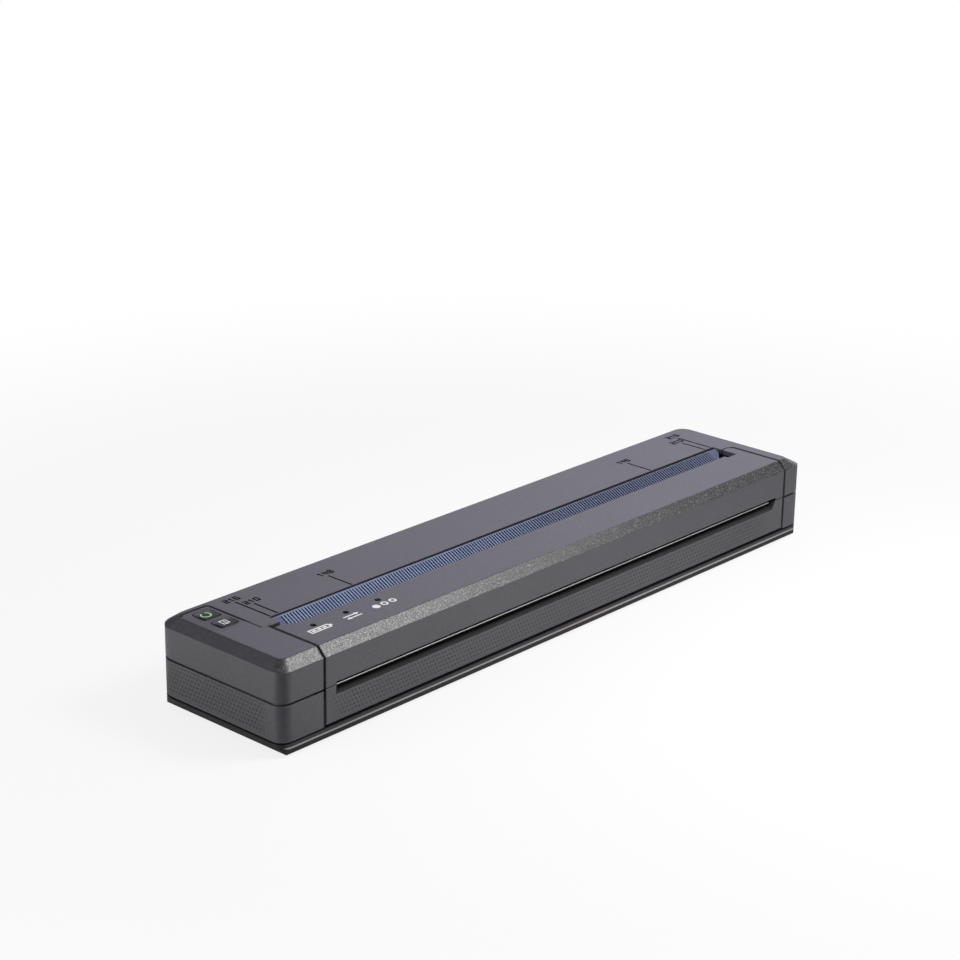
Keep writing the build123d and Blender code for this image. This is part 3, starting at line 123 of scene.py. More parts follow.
# ==== node helpers ====
class Nodes:
    """Short way to build a material's node tree."""

    def __init__(self, name):
        self.material = bpy.data.materials.new(name)
        self.material.use_nodes = True
        self.tree = self.material.node_tree
        self.tree.nodes.clear()
        self.output = self.new("ShaderNodeOutputMaterial")
        self.shader = self.new("ShaderNodeBsdfPrincipled")
        self.link(self.shader.outputs[0], self.output.inputs[0])
        self.coords = self.new("ShaderNodeTexCoord")

    def new(self, kind):
        return self.tree.nodes.new(kind)

    def link(self, a, b):
        self.tree.links.new(a, b)

    def put(self, socket, value):
        """Sets a socket to a number or colour, or links it to another socket."""
        if isinstance(value, bpy.types.NodeSocket):
            self.link(value, socket)
        else:
            socket.default_value = value

    def math(self, operation, a, b=0.0, clamp=False):
        node = self.new("ShaderNodeMath")
        node.operation = operation
        node.use_clamp = clamp
        self.put(node.inputs[0], a)
        self.put(node.inputs[1], b)
        return node.outputs[0]

    def times(self, first, *others):
        """Product of two or more values."""
        for other in others:
            first = self.math("MULTIPLY", first, other)
        return first

    def most(self, first, *others):
        """Largest of two or more values."""
        for other in others:
            first = self.math("MAXIMUM", first, other)
        return first

    def plus(self, a, b):
        return self.math("ADD", a, b)

    def minus(self, a, b):
        return self.math("SUBTRACT", a, b)

    def size(self, a):
        """A value without its sign."""
        return self.math("ABSOLUTE", a)

    def over(self, a, limit):
        """1 where a value is over a limit, and 0 elsewhere."""
        return self.math("GREATER_THAN", a, limit)

    def under(self, a, limit):
        """1 where a value is under a limit, and 0 elsewhere."""
        return self.math("LESS_THAN", a, limit)

    def length(self, a, b):
        """Length of a flat vector."""
        return self.math("SQRT", self.plus(self.times(a, a), self.times(b, b)))

    def split(self, vector):
        """The three parts of a vector."""
        node = self.new("ShaderNodeSeparateXYZ")
        self.link(vector, node.inputs[0])
        return list(node.outputs)

    def place(self):
        """The three coordinates of a surface point in the object's own frame."""
        return self.split(self.coords.outputs["Object"])

    def facing(self):
        """The three parts of the surface normal in the object's own frame."""
        return self.split(self.coords.outputs["Normal"])

    def noise(self, size, detail=3.0, roughness=0.55, stretch=None):
        """Noise whose grains are about the given size in metres."""
        node = self.new("ShaderNodeTexNoise")
        node.inputs["Scale"].default_value = 1.0 / size
        node.inputs["Detail"].default_value = detail
        node.inputs["Roughness"].default_value = roughness
        place = self.coords.outputs["Object"]
        if stretch:
            mapping = self.new("ShaderNodeMapping")
            mapping.inputs["Scale"].default_value = stretch
            self.link(place, mapping.inputs[0])
            place = mapping.outputs[0]
        self.link(place, node.inputs[0])
        return node.outputs[0]

    def ramp(self, value, low_end, high_end, to_low=0.0, to_high=1.0):
        """Smooth step of a value between two ends."""
        node = self.new("ShaderNodeMapRange")
        node.interpolation_type = "SMOOTHSTEP"
        for socket, item in zip(node.inputs, (value, low_end, high_end, to_low, to_high)):
            self.put(socket, item)
        return node.outputs[0]

    def mix(self, share, a, b):
        """Blend of two colours."""
        node = self.new("ShaderNodeMix")
        node.data_type = "RGBA"
        self.put(node.inputs["Factor"], share)
        self.put(node.inputs[6], a)
        self.put(node.inputs[7], b)
        return node.outputs[2]

    def blotched(self, noise, dark, light, spread=0.2):
        """Blend of two colours that follows a noise."""
        return self.mix(self.ramp(noise, 0.5 - spread, 0.5 + spread), dark, light)

    def uneven(self, noise, low_end, high_end):
        """Value that wanders between two ends with a noise."""
        return self.ramp(noise, 0.2, 0.8, low_end, high_end)

    def rounded(self, radius):
        """Surface normal with sharp edges rounded by the given radius."""
        node = self.new("ShaderNodeBevel")
        node.samples = 6
        node.inputs["Radius"].default_value = radius
        return node.outputs[0]

    def bump(self, height, distance, strength=1.0, before=None):
        """Surface normal bent by a height, on top of another normal if one is given."""
        node = self.new("ShaderNodeBump")
        node.inputs["Strength"].default_value = strength
        node.inputs["Distance"].default_value = distance
        self.link(height, node.inputs["Height"])
        if before is not None:
            self.link(before, node.inputs["Normal"])
        return node.outputs[0]

    def emission(self, level):
        """Plain glow of the given grey level."""
        node = self.new("ShaderNodeEmission")
        node.inputs["Color"].default_value = grey(level)
        return node.outputs[0]

    def blend(self, share, a, b):
        """Blend of two shaders."""
        node = self.new("ShaderNodeMixShader")
        for socket, item in zip(node.inputs, (share, a, b)):
            self.link(item, socket)
        return node.outputs[0]

    def finish(self, color, roughness, normal=None, metallic=0.0, specular=0.5):
        """Fills in the shader and gives the finished material."""
        self.put(self.shader.inputs["Base Color"], color)
        self.put(self.shader.inputs["Roughness"], roughness)
        self.shader.inputs["Metallic"].default_value = metallic
        self.shader.inputs["Specular IOR Level"].default_value = specular
        if normal is not None:
            self.link(normal, self.shader.inputs["Normal"])
        return self.material


def grey(level):
    return (level, level, level, 1.0)


# ==== housing plastic ====
CASE_DARK = (0.036, 0.034, 0.041, 1)
CASE_LIGHT = (0.043, 0.040, 0.049, 1)
CASE_MOTTLE = (0.075, 0.070, 0.088, 1)
# The colours from here to the deck's edge are painted shade.
PIT_SHADE = (0.004, 0.004, 0.006, 1)
KEY_FIELD_SHADE = (0.016, 0.015, 0.018, 1)
GROOVE_SHADE = grey(0.004)
LIP_SHADE = (0.010, 0.008, 0.008, 1)
SLOT_SHADE = (0.006, 0.005, 0.005, 1)
DECK_EDGE_SHADE = (0.003, 0.003, 0.005, 1)
BEVEL_BASE = (0.014, 0.0136, 0.0136, 1)
SPECK_LIGHT = (0.160, 0.157, 0.149, 1)
SPECK_DARK = grey(0.003)

CLOUD_SIZE = 26 * MM
MOTTLE_SIZE = 1.1 * MM
GRAIN_SIZE = 0.28 * MM
GRAIN_DEPTH = 0.035 * MM
SPECK_SIZE = 0.42 * MM
SPECK_DEPTH = 0.10 * MM
EDGE_RADIUS = 0.22 * MM

DIMPLE_PITCH = 1.49 * MM
DIMPLE_ROW = 1.41 * MM
DIMPLE_DEPTH = 0.14 * MM
REAR_CORNER = 7.0 * MM
# The places where the dimples start and where they are full.
DIMPLE_TOP = (PARTING - 0.8 * MM, PARTING - 2.2 * MM)
DIMPLE_FOOT = (5.2 * MM, 6.4 * MM)
DIMPLE_SEAM = (113 * MM, 98 * MM)
DIMPLE_CORNER = (-25 * MM, -16 * MM)

# The key field is a rounded rectangle, and painted shade lines its groove behind it and on its right.
KEY_FIELD_LEFT = -HALF_LENGTH + 3.6 * MM
KEY_FIELD_RIGHT = -HALF_LENGTH + 15.4 * MM
KEY_FIELD_REAR = POWER_KEY_Y + 5.7 * MM
KEY_FIELD_DEPTH = 40 * MM
KEY_FIELD_CORNER = 1.6 * MM
KEY_LINE_INSET = 0.25 * MM
KEY_LINE_EDGE = (0.62 * MM, 0.30 * MM)
KEY_LINE_FADE = (1.0 * MM, 6.0 * MM)
# Painted shade on the top by the keys, towards the rear of the left end.
KEY_SHADE_Y = (0.0, 8 * MM)
KEY_SHADE_X = (-111 * MM, -112.5 * MM)

SEAM_SHADE_MIDDLE = 0.40 * MM
SEAM_SHADE_EDGE = (0.34 * MM, 0.136 * MM)

# Where the painted shade inside the paper exit starts and where it is full, in depth and in height.
SLOT_HALF_LENGTH = 114 * MM
SLOT_SKIN = 0.15 * MM
SLOT_REACH = (-20 * MM, -22 * MM)
SLOT_FOOT = (13.5 * MM, 14.5 * MM)
SLOT_TOP = (19.6 * MM, 19.2 * MM)
# Painted shadow on the deck's front-facing edge, behind this place.
DECK_EDGE_FRONT = -2 * MM


def wall_dimples(n, place, facing):
    """Staggered pits on the walls below the parting line, fading towards the corners and seams."""
    x, y, z = place
    side, front = n.size(facing[0]), n.size(facing[1])
    on_long_wall = n.ramp(front, 0.6, 0.8)
    on_end_wall = n.ramp(side, 0.6, 0.8)
    # On the rounded rear corners the columns follow the arc, and so keep their pitch.
    turned = n.math("DIVIDE", n.minus(y, HALF_DEPTH - REAR_CORNER), REAR_CORNER, clamp=True)
    arc_excess = n.times(n.minus(n.math("ARCSINE", turned), turned), REAR_CORNER)
    on_end = n.over(side, 0.5)
    along = n.plus(n.times(n.plus(y, arc_excess), on_end), n.times(x, n.minus(1.0, on_end)))
    columns = n.math("COSINE", n.times(along, 2 * math.pi / DIMPLE_PITCH))
    stagger = n.math("COSINE", n.times(z, math.pi / DIMPLE_ROW))
    rows = n.math("COSINE", n.times(z, 2 * math.pi / DIMPLE_ROW))
    pits = n.ramp(n.plus(n.times(columns, stagger), n.times(rows, 0.5)), 0.15, 0.75)
    on_walls = n.plus(n.times(on_long_wall, n.ramp(n.size(x), *DIMPLE_SEAM)),
                      n.times(on_end_wall, n.ramp(y, *DIMPLE_CORNER)))
    return n.times(pits, on_walls, n.ramp(z, *DIMPLE_TOP), n.ramp(z, *DIMPLE_FOOT))


def key_field_line(n, x, y):
    """Painted shade along the edges of the groove behind and beside the keys."""
    middle_x = (KEY_FIELD_LEFT + KEY_FIELD_RIGHT) / 2
    middle_y = KEY_FIELD_REAR - KEY_FIELD_DEPTH / 2
    straight_x = (KEY_FIELD_RIGHT - KEY_FIELD_LEFT) / 2 - KEY_FIELD_CORNER
    straight_y = KEY_FIELD_DEPTH / 2 - KEY_FIELD_CORNER
    from_x = n.minus(n.size(n.minus(x, middle_x)), straight_x)
    from_y = n.minus(n.size(n.minus(y, middle_y)), straight_y)
    outside = n.length(n.most(from_x, 0.0), n.most(from_y, 0.0))
    inside = n.math("MINIMUM", n.most(from_x, from_y), 0.0)
    away = n.size(n.plus(n.plus(outside, inside), KEY_LINE_INSET - KEY_FIELD_CORNER))
    rear_run = n.over(y, KEY_FIELD_REAR - KEY_FIELD_CORNER)
    side_run = n.times(n.over(x, KEY_FIELD_RIGHT - KEY_FIELD_CORNER), n.ramp(y, *KEY_LINE_FADE))
    return n.times(n.ramp(away, *KEY_LINE_EDGE), n.most(rear_run, side_run))


def seam_edges(n, x):
    """Narrow bands of painted shade on both sides of the cover's two seams."""
    left = n.size(n.minus(x, SEAM_LEFT))
    right = n.size(n.minus(x, SEAM_RIGHT))
    away = n.size(n.minus(n.math("MINIMUM", left, right), SEAM_SHADE_MIDDLE))
    return n.ramp(away, *SEAM_SHADE_EDGE)


def slot_depths(n, place):
    """Inner faces of the paper exit, which get painted shade."""
    x, y, z = place
    behind_face = n.times(n.over(y, -HALF_DEPTH + SLOT_SKIN), n.ramp(y, *SLOT_REACH))
    between_ends = n.under(n.size(x), SLOT_HALF_LENGTH)
    return n.times(behind_face, between_ends, n.ramp(z, *SLOT_FOOT), n.ramp(z, *SLOT_TOP))


def case_material():
    """Charcoal plastic: fine grain, a coarse bright grain on the front bevel and pits on the walls, with
    painted shade in the pits, by the keys, along grooves and seams, on the exit's lip, inside the exit and
    on the deck's edge.
    """
    n = Nodes("case_plastic")
    place = n.place()
    facing = n.facing()
    x, y, z = place
    ny, nz = facing[1:]
    fine = n.noise(GRAIN_SIZE, 2.0, 0.6)
    speck = n.noise(SPECK_SIZE, 2.0, 0.65)
    mottle = n.noise(MOTTLE_SIZE, 2.0, 0.6)

    slope = n.times(n.ramp(nz, 0.25, 0.5), n.ramp(nz, 0.97, 0.85), n.ramp(ny, -0.05, -0.45))
    lip = n.times(slope, n.under(z, PARTING))
    bevel = n.minus(slope, lip)
    pits = wall_dimples(n, place, facing)
    key_field = n.times(n.ramp(y, *KEY_SHADE_Y), n.ramp(x, *KEY_SHADE_X), n.ramp(nz, 0.9, 0.99))
    key_line = key_field_line(n, x, y)
    top_or_front = n.most(n.ramp(nz, 0.3, 0.6), n.ramp(ny, 0.0, -0.1))
    seams = n.times(top_or_front, seam_edges(n, x), n.under(y, COVER_REAR))
    in_slot = slot_depths(n, place)
    deck_edge = n.times(n.under(ny, -0.5), n.over(y, DECK_EDGE_FRONT))

    color = n.blotched(n.noise(CLOUD_SIZE, 3.0), CASE_DARK, CASE_LIGHT)
    # The mottle, the bevel's colour and its specks are the plastic's own; the other layers are painted
    # shade.
    for share, shade in (
        (n.ramp(mottle, 0.35, 0.65, 0.0, 0.30), CASE_MOTTLE),
        (pits, PIT_SHADE),
        (bevel, BEVEL_BASE),
        (key_field, KEY_FIELD_SHADE),
        (key_line, GROOVE_SHADE),
        (seams, GROOVE_SHADE),
        (lip, LIP_SHADE),
        (in_slot, SLOT_SHADE),
        (deck_edge, DECK_EDGE_SHADE),
        (n.times(n.ramp(speck, 0.54, 0.64), bevel), SPECK_LIGHT),
        (n.times(n.ramp(speck, 0.47, 0.37), bevel), SPECK_DARK),
    ):
        color = n.mix(share, color, shade)

    normal = n.bump(fine, GRAIN_DEPTH, 0.5, n.rounded(EDGE_RADIUS))
    normal = n.bump(n.times(speck, bevel), SPECK_DEPTH, 0.9, normal)
    normal = n.bump(n.times(pits, -1.0), DIMPLE_DEPTH, 1.0, normal)
    sparkle = n.times(n.ramp(speck, 0.40, 0.60, 0.0, 0.10), bevel)
    dull = n.most(lip, in_slot, key_line, seams, deck_edge)
    rough = n.minus(n.uneven(fine, 0.38, 0.50), sparkle)
    rough = n.math("ADD", rough, n.times(dull, 0.5), clamp=True)
    return n.finish(color, rough, normal, specular=0.9)


# ==== other materials ====
BASE_DARK = (0.028, 0.026, 0.032, 1)
BASE_LIGHT = (0.034, 0.032, 0.039, 1)
BASE_BELOW_BAND = (0.015, 0.0135, 0.013, 1)
BASE_EDGE_HIGHLIGHT = (0.34, 0.32, 0.325, 1)
STREAK_SIZE = 5 * MM
BAND_FOOT = 2.6 * MM
BAND_FOOT_BLUR = 0.05 * MM
# The painted highlight is full up to this height on the band and fades out above it.
BAND_EDGE = 3.0 * MM
BAND_EDGE_HEIGHT = 0.35 * MM

GUIDE_DARK = (0.105, 0.120, 0.215, 1)
GUIDE_LIGHT = (0.13, 0.148, 0.25, 1)
GUIDE_AT_RIGHT = (0.07, 0.08, 0.14, 1)
# The ribs' paler colour is a painted sheen; the channels' navy is painted shade.
RIB_DARK = (0.22, 0.27, 0.43, 1)
RIB_LIGHT = (0.27, 0.325, 0.49, 1)
RIB_AT_RIGHT = (0.10, 0.115, 0.19, 1)
CHANNEL_AT_LEFT = (0.012, 0.018, 0.052, 1)
CHANNEL_AT_RIGHT = (0.016, 0.018, 0.036, 1)
RIB_PITCH = 1.2 * MM
RIBS_LEFT = low("paper_guide")[0] + 3.0 * MM
RIBS_RIGHT = high("paper_guide")[0] - 5.0 * MM
CHANNEL_DEPTH = (0.1 * MM, 0.2 * MM)
# Between two places along it the guide turns darker with painted shade, and the painted shadow of the gap
# behind it widens.
GUIDE_DARKER = (-80 * MM, 60 * MM)
GUIDE_GAP_GROWS = (-100 * MM, 60 * MM)
GUIDE_GAP = (0.1 * MM, 0.6 * MM)
GUIDE_GAP_BLUR = 0.12 * MM

BRUSH_SIZE = 0.35 * MM
BRUSH_STRETCH = (0.03, 1.0, 1.0)
BRUSH_DEPTH = 0.008 * MM
BLADE_EDGE = low("tear_bar")[2] + 0.24 * MM
BLADE_BLUR = 0.04 * MM

MASK_GREEN = (0.010, 0.075, 0.030, 1)
TRACK_GREEN = (0.022, 0.16, 0.062, 1)
TRACK_PITCH = 1.27 * MM
TRACK_WANDER = 5 * MM

KEY_DARK = (0.008, 0.008, 0.009, 1)
KEY_LIGHT = (0.012, 0.011, 0.014, 1)
KEY_DISH_SHEEN = (0.085, 0.080, 0.095, 1)
# Along the depth: the power key's dish, the feed key's dish and the feed key's rear end.
POWER_DISH = (14.5 * MM, 18.4 * MM)
FEED_DISH = (7.0 * MM, 9.9 * MM)
FEED_REAR = (11.5 * MM, 11.0 * MM)


def base_material():
    """Plastic of the base: dark below its front band, with a painted highlight as a paler strip along the
    band.
    """
    n = Nodes("base_plastic")
    z = n.place()[2]
    ny = n.facing()[1]
    fine = n.noise(GRAIN_SIZE, 2.0, 0.6)
    streaks = n.noise(STREAK_SIZE, 3.0, 0.6, stretch=(0.2, 1.0, 1.0))
    band = n.times(n.ramp(z, BAND_FOOT, BAND_FOOT + BAND_FOOT_BLUR), n.ramp(n.size(ny), 0.75, 0.97))
    edge = n.times(band, n.ramp(z, BAND_EDGE + BAND_EDGE_HEIGHT, BAND_EDGE))
    # A painted highlight along the band's lower part, made uneven by the streaks.
    edge_highlight = n.times(edge, n.ramp(streaks, 0.1, 0.7, 0.7, 1.0))
    color = n.blotched(streaks, BASE_DARK, BASE_LIGHT)
    color = n.mix(band, BASE_BELOW_BAND, color)
    color = n.mix(edge_highlight, color, BASE_EDGE_HIGHLIGHT)
    normal = n.bump(fine, GRAIN_DEPTH, 0.5, n.rounded(EDGE_RADIUS))
    return n.finish(color, n.uneven(fine, 0.42, 0.54), normal, specular=0.35)


def guide_material():
    """Blue plastic of the paper guide: pale on the ribs with a painted sheen, navy in the channels between
    them with painted shade, and a painted shadow by the deck.
    """
    n = Nodes("guide_plastic")
    x, y, z = n.place()
    nz = n.facing()[2]
    fine = n.noise(0.3 * MM, 2.0)
    cloud = n.noise(9 * MM, 2.0)
    top = high("paper_guide")[2]
    phase = n.math("FRACT", n.math("DIVIDE", n.minus(x, RIBS_LEFT), RIB_PITCH))
    ribbed = n.times(n.over(x, RIBS_LEFT), n.under(x, RIBS_RIGHT))
    deep = n.ramp(z, top - CHANNEL_DEPTH[0], top - CHANNEL_DEPTH[1])
    channel = n.times(n.ramp(phase, 0.0, 0.04), n.ramp(phase, 0.52, 0.48), deep, ribbed)
    to_right = n.ramp(x, *GUIDE_DARKER)
    plain = n.mix(n.times(to_right, 0.6), n.blotched(cloud, GUIDE_DARK, GUIDE_LIGHT), GUIDE_AT_RIGHT)
    ribs = n.mix(n.times(to_right, 0.85), n.blotched(cloud, RIB_DARK, RIB_LIGHT), RIB_AT_RIGHT)
    channels = n.mix(to_right, CHANNEL_AT_LEFT, CHANNEL_AT_RIGHT)
    color = n.mix(n.times(ribbed, n.ramp(nz, 0.99, 0.95)), plain, ribs)
    color = n.mix(channel, color, channels)
    # Painted shadow of the gap along the guide's rear edge.
    gap = n.ramp(x, *GUIDE_GAP_GROWS, *GUIDE_GAP)
    from_deck = n.minus(high("paper_guide")[1], y)
    shade = n.ramp(n.minus(from_deck, gap), GUIDE_GAP_BLUR, 0.0)
    color = n.mix(shade, color, PIT_SHADE)
    rough = n.plus(n.uneven(fine, 0.36, 0.50), n.times(n.most(shade, channel), 0.4))
    return n.finish(color, rough, n.bump(fine, 0.03 * MM, 0.5), specular=0.25)


def key_material():
    """Gloss black key tops, paler towards the rear where they dish, which is a painted sheen."""
    n = Nodes("key_plastic")
    y = n.place()[1]
    fine = n.noise(0.5 * MM, 2.0)
    # Painted sheen where the keys dish.
    dished = n.plus(n.ramp(y, *POWER_DISH), n.times(n.ramp(y, *FEED_DISH), n.ramp(y, *FEED_REAR)))
    color = n.mix(dished, n.blotched(n.noise(4 * MM), KEY_DARK, KEY_LIGHT), KEY_DISH_SHEEN)
    normal = n.bump(fine, 0.006 * MM, 0.4, n.rounded(0.3 * MM))
    return n.finish(color, n.uneven(fine, 0.30, 0.40), normal, specular=0.12)


def board_material():
    """Green solder mask over faint copper tracks."""
    n = Nodes("circuit_board")
    y = n.place()[1]
    fine = n.noise(0.4 * MM, 2.0)
    wander = n.times(n.noise(7 * MM, 1.0), TRACK_WANDER)
    across = n.math("SINE", n.times(n.plus(y, wander), 2 * math.pi / TRACK_PITCH))
    tracks = n.times(n.ramp(across, 0.45, 0.6), n.ramp(n.noise(11 * MM, 1.0), 0.45, 0.5))
    color = n.mix(tracks, MASK_GREEN, TRACK_GREEN)
    return n.finish(color, n.uneven(fine, 0.22, 0.34), n.bump(tracks, 0.03 * MM, 0.5))


def tear_bar_material():
    """Ground steel blade, bright above, with painted shade on its underside where it turns away."""
    n = Nodes("tear_bar_steel")
    z = n.place()[2]
    lines = n.noise(BRUSH_SIZE, 3.0, 0.6, stretch=BRUSH_STRETCH)
    # Painted shade on the blade's underside.
    under = n.ramp(z, BLADE_EDGE + BLADE_BLUR, BLADE_EDGE - BLADE_BLUR)
    color = n.mix(under, n.blotched(lines, grey(0.52), grey(0.70), 0.25), grey(0.05))
    rough = n.plus(n.uneven(lines, 0.20, 0.36), n.times(under, 0.3))
    return n.finish(color, rough, n.bump(lines, BRUSH_DEPTH, 0.4), metallic=1.0)


def plain_plastic(name, dark, light, grain, roughness, specular=0.5):
    """Moulded plastic with a fine grain and slight colour change."""
    n = Nodes(name)
    fine = n.noise(grain, 2.0)
    color = n.blotched(n.noise(8 * MM, 2.0), dark, light)
    rough = n.uneven(fine, roughness - 0.06, roughness + 0.06)
    return n.finish(color, rough, n.bump(fine, 0.02 * MM, 0.5), specular=specular)


def brushed_metal(name, dark, light, roughness):
    """Metal drawn along its length."""
    n = Nodes(name)
    lines = n.noise(BRUSH_SIZE, 3.0, 0.6, stretch=BRUSH_STRETCH)
    color = n.blotched(lines, dark, light, 0.25)
    rough = n.uneven(lines, roughness - 0.08, roughness + 0.08)
    return n.finish(color, rough, n.bump(lines, BRUSH_DEPTH, 0.4), metallic=1.0)


def rubber_material(name, level, roughness):
    """Matt rubber with ground marks."""
    n = Nodes(name)
    grain = n.noise(0.25 * MM, 3.0, 0.7)
    rough = n.uneven(grain, roughness - 0.08, roughness + 0.06)
    color = n.blotched(grain, grey(level), grey(level * 1.5))
    return n.finish(color, rough, n.bump(grain, 0.03 * MM, 0.6), specular=0.35)


def print_material(name, color):
    """Printed ink with slightly uneven cover."""
    n = Nodes(name)
    speck = n.noise(0.2 * MM, 2.0)
    thin = tuple(c * 0.82 for c in color[:3]) + (1.0,)
    return n.finish(n.blotched(speck, thin, color), n.uneven(speck, 0.7, 0.85), specular=0.0)


# Colour at the dark and the light end, grain in millimetres and roughness.
PLASTICS = {
    "frame_plastic": ((0.018, 0.018, 0.020, 1), (0.026, 0.026, 0.028, 1), 0.35, 0.55),
    "connector_plastic": ((0.018, 0.018, 0.020, 1), (0.026, 0.026, 0.028, 1), 0.3, 0.42),
    "head_ceramic": ((0.60, 0.55, 0.47, 1), (0.74, 0.70, 0.62, 1), 0.2, 0.22),
    "board_resin": ((0.012, 0.016, 0.014, 1), (0.02, 0.026, 0.022, 1), 0.5, 0.2),
    "cable_plastic": ((0.55, 0.55, 0.52, 1), (0.72, 0.72, 0.69, 1), 0.5, 0.32),
    "chip_plastic": ((0.012, 0.012, 0.012, 1), (0.02, 0.02, 0.02, 1), 0.2, 0.5),
    "battery_wrap": ((0.03, 0.03, 0.034, 1), (0.04, 0.04, 0.045, 1), 0.6, 0.4),
    "gear_plastic": ((0.62, 0.61, 0.57, 1), (0.74, 0.73, 0.69, 1), 0.4, 0.35),
}

# Colour at the dark and the light end, and roughness.
METALS = {
    "steel": ((0.50, 0.49, 0.47, 1), (0.72, 0.71, 0.69, 1), 0.28),
    "motor_steel": ((0.36, 0.36, 0.35, 1), (0.50, 0.50, 0.49, 1), 0.38),
    "heat_sink": ((0.55, 0.55, 0.56, 1), (0.74, 0.74, 0.75, 1), 0.36),
    "socket_metal": ((0.55, 0.55, 0.54, 1), (0.70, 0.70, 0.69, 1), 0.3),
    "contact_brass": ((0.62, 0.42, 0.15, 1), (0.80, 0.60, 0.27, 1), 0.25),
}

WINDOW_DARK = (0.006, 0.006, 0.007, 1)
WINDOW_LIGHT = (0.01, 0.01, 0.011, 1)

# The nodes whose finish differs from what their slot in the record has.
OWN_FINISH = {"base_cover": "base_plastic", "tear_bar": "tear_bar_steel"}


def node_materials():
    """The materials of the CAD nodes, by name."""
    made = {
        "case_plastic": case_material(),
        "base_plastic": base_material(),
        "guide_plastic": guide_material(),
        "key_plastic": key_material(),
        "light_pipe": plain_plastic("light_pipe", WINDOW_DARK, WINDOW_LIGHT, 0.5 * MM, 0.4, specular=0.0),
        "circuit_board": board_material(),
        "tear_bar_steel": tear_bar_material(),
        "foot_rubber": rubber_material("foot_rubber", 0.012, 0.8),
        "roller_rubber": rubber_material("roller_rubber", 0.02, 0.7),
    }
    for name, (dark, light, grain, roughness) in PLASTICS.items():
        made[name] = plain_plastic(name, dark, light, grain * MM, roughness)
    for name, (dark, light, roughness) in METALS.items():
        made[name] = brushed_metal(name, dark, light, roughness)
    return made


MATERIALS = node_materials()
BLACK_INK = print_material("black_ink", (0.006, 0.006, 0.007, 1))
WHITE_INK = print_material("white_ink", (0.93, 0.93, 0.94, 1))
GREEN_INK = print_material("green_ink", (0.035, 0.115, 0.035, 1))
PALE_GREEN = print_material("pale_green_ink", (0.58, 0.74, 0.55, 1))


def dress_nodes():
    """Gives every CAD node its own finish or the material of its slot."""
    slots = {part["node"]: part["material_slot"] for part in frame["record"]["subparts"]}
    for name, node in frame["nodes"].items():
        node.data.materials.clear()
        node.data.materials.append(MATERIALS[OWN_FINISH.get(name, slots[name])])


# ==== prints ====
PRINT_LIFT = 0.02 * MM
FULL_TURN = (0, 360)

GUIDE_LINE_WIDTH = 0.62 * MM
GUIDE_LINE_FRONT = 1.4 * MM
DIGIT_HEIGHT = 2.1 * MM
DIGIT_WIDTH = 0.62 * DIGIT_HEIGHT
DIGIT_PITCH = 0.98 * DIGIT_HEIGHT
DIGIT_STROKE = 0.24 * DIGIT_HEIGHT

# A place along the length, the line's rear end, the paper width printed there and the number's shift.
GUIDE_LINES = (
    (-104.8 * MM, 16.8 * MM, "216", 0.3 * MM),
    (-101.5 * MM, 11.9 * MM, "210", 0.8 * MM),
    (-70.3 * MM, 11.9 * MM, "148", 0.7 * MM),
    (76.9 * MM, 12.0 * MM, "148", 0.2 * MM),
    (107.9 * MM, 11.8 * MM, "210", -0.5 * MM),
    (111.2 * MM, 16.5 * MM, "216", -0.3 * MM),
)

# Strokes of each digit: the start and end of each, in halves of the digit's width and height.
STROKES = {
    "0": ((0, 0, 2, 0), (0, 2, 2, 2), (0, 0, 0, 2), (2, 0, 2, 2)),
    "1": ((1, 0, 1, 2), (0.4, 1.6, 1, 2)),
    "2": ((0, 2, 2, 2), (2, 1, 2, 2), (0, 1, 2, 1), (0, 0, 0, 1), (0, 0, 2, 0)),
    "4": ((0, 1, 0, 2), (0, 1, 2, 1), (1.5, 0, 1.5, 2)),
    "6": ((0, 2, 2, 2), (0, 0, 0, 2), (0, 0, 2, 0), (2, 0, 2, 1), (0, 1, 2, 1)),
    "8": ((0, 0, 2, 0), (0, 1, 2, 1), (0, 2, 2, 2), (0, 0, 0, 2), (2, 0, 2, 2)),
}

# Radii, half widths and ends of the two key symbols, from each symbol's centre.
POWER_CENTRE = (-117.9 * MM, 15.3 * MM)
OPEN_AT_REAR = (118, 422)
POWER_RING = (1.30 * MM, 1.80 * MM)
GLOW_INSIDE = (0.55 * MM, 1.22 * MM)
GLOW_OUTSIDE = (1.88 * MM, 2.15 * MM)
POWER_BAR_HALF = 0.28 * MM
POWER_BAR_FRONT = -0.1 * MM
POWER_BAR_REAR = 1.75 * MM
FEED_CENTRE = (-117.6 * MM, 7.4 * MM)
FEED_LINE = 0.36 * MM
SHEET_HALF_WIDTH = 1.25 * MM
SHEET_HALF_HEIGHT = 1.45 * MM
SHAFT_FRONT = -1.0 * MM
SHAFT_REAR = 0.6 * MM
FEED_TIP_OVERHANG = 0.35 * MM
FEED_TIP_LENGTH = 0.85 * MM
FEED_TIP_HALF = 0.8 * MM

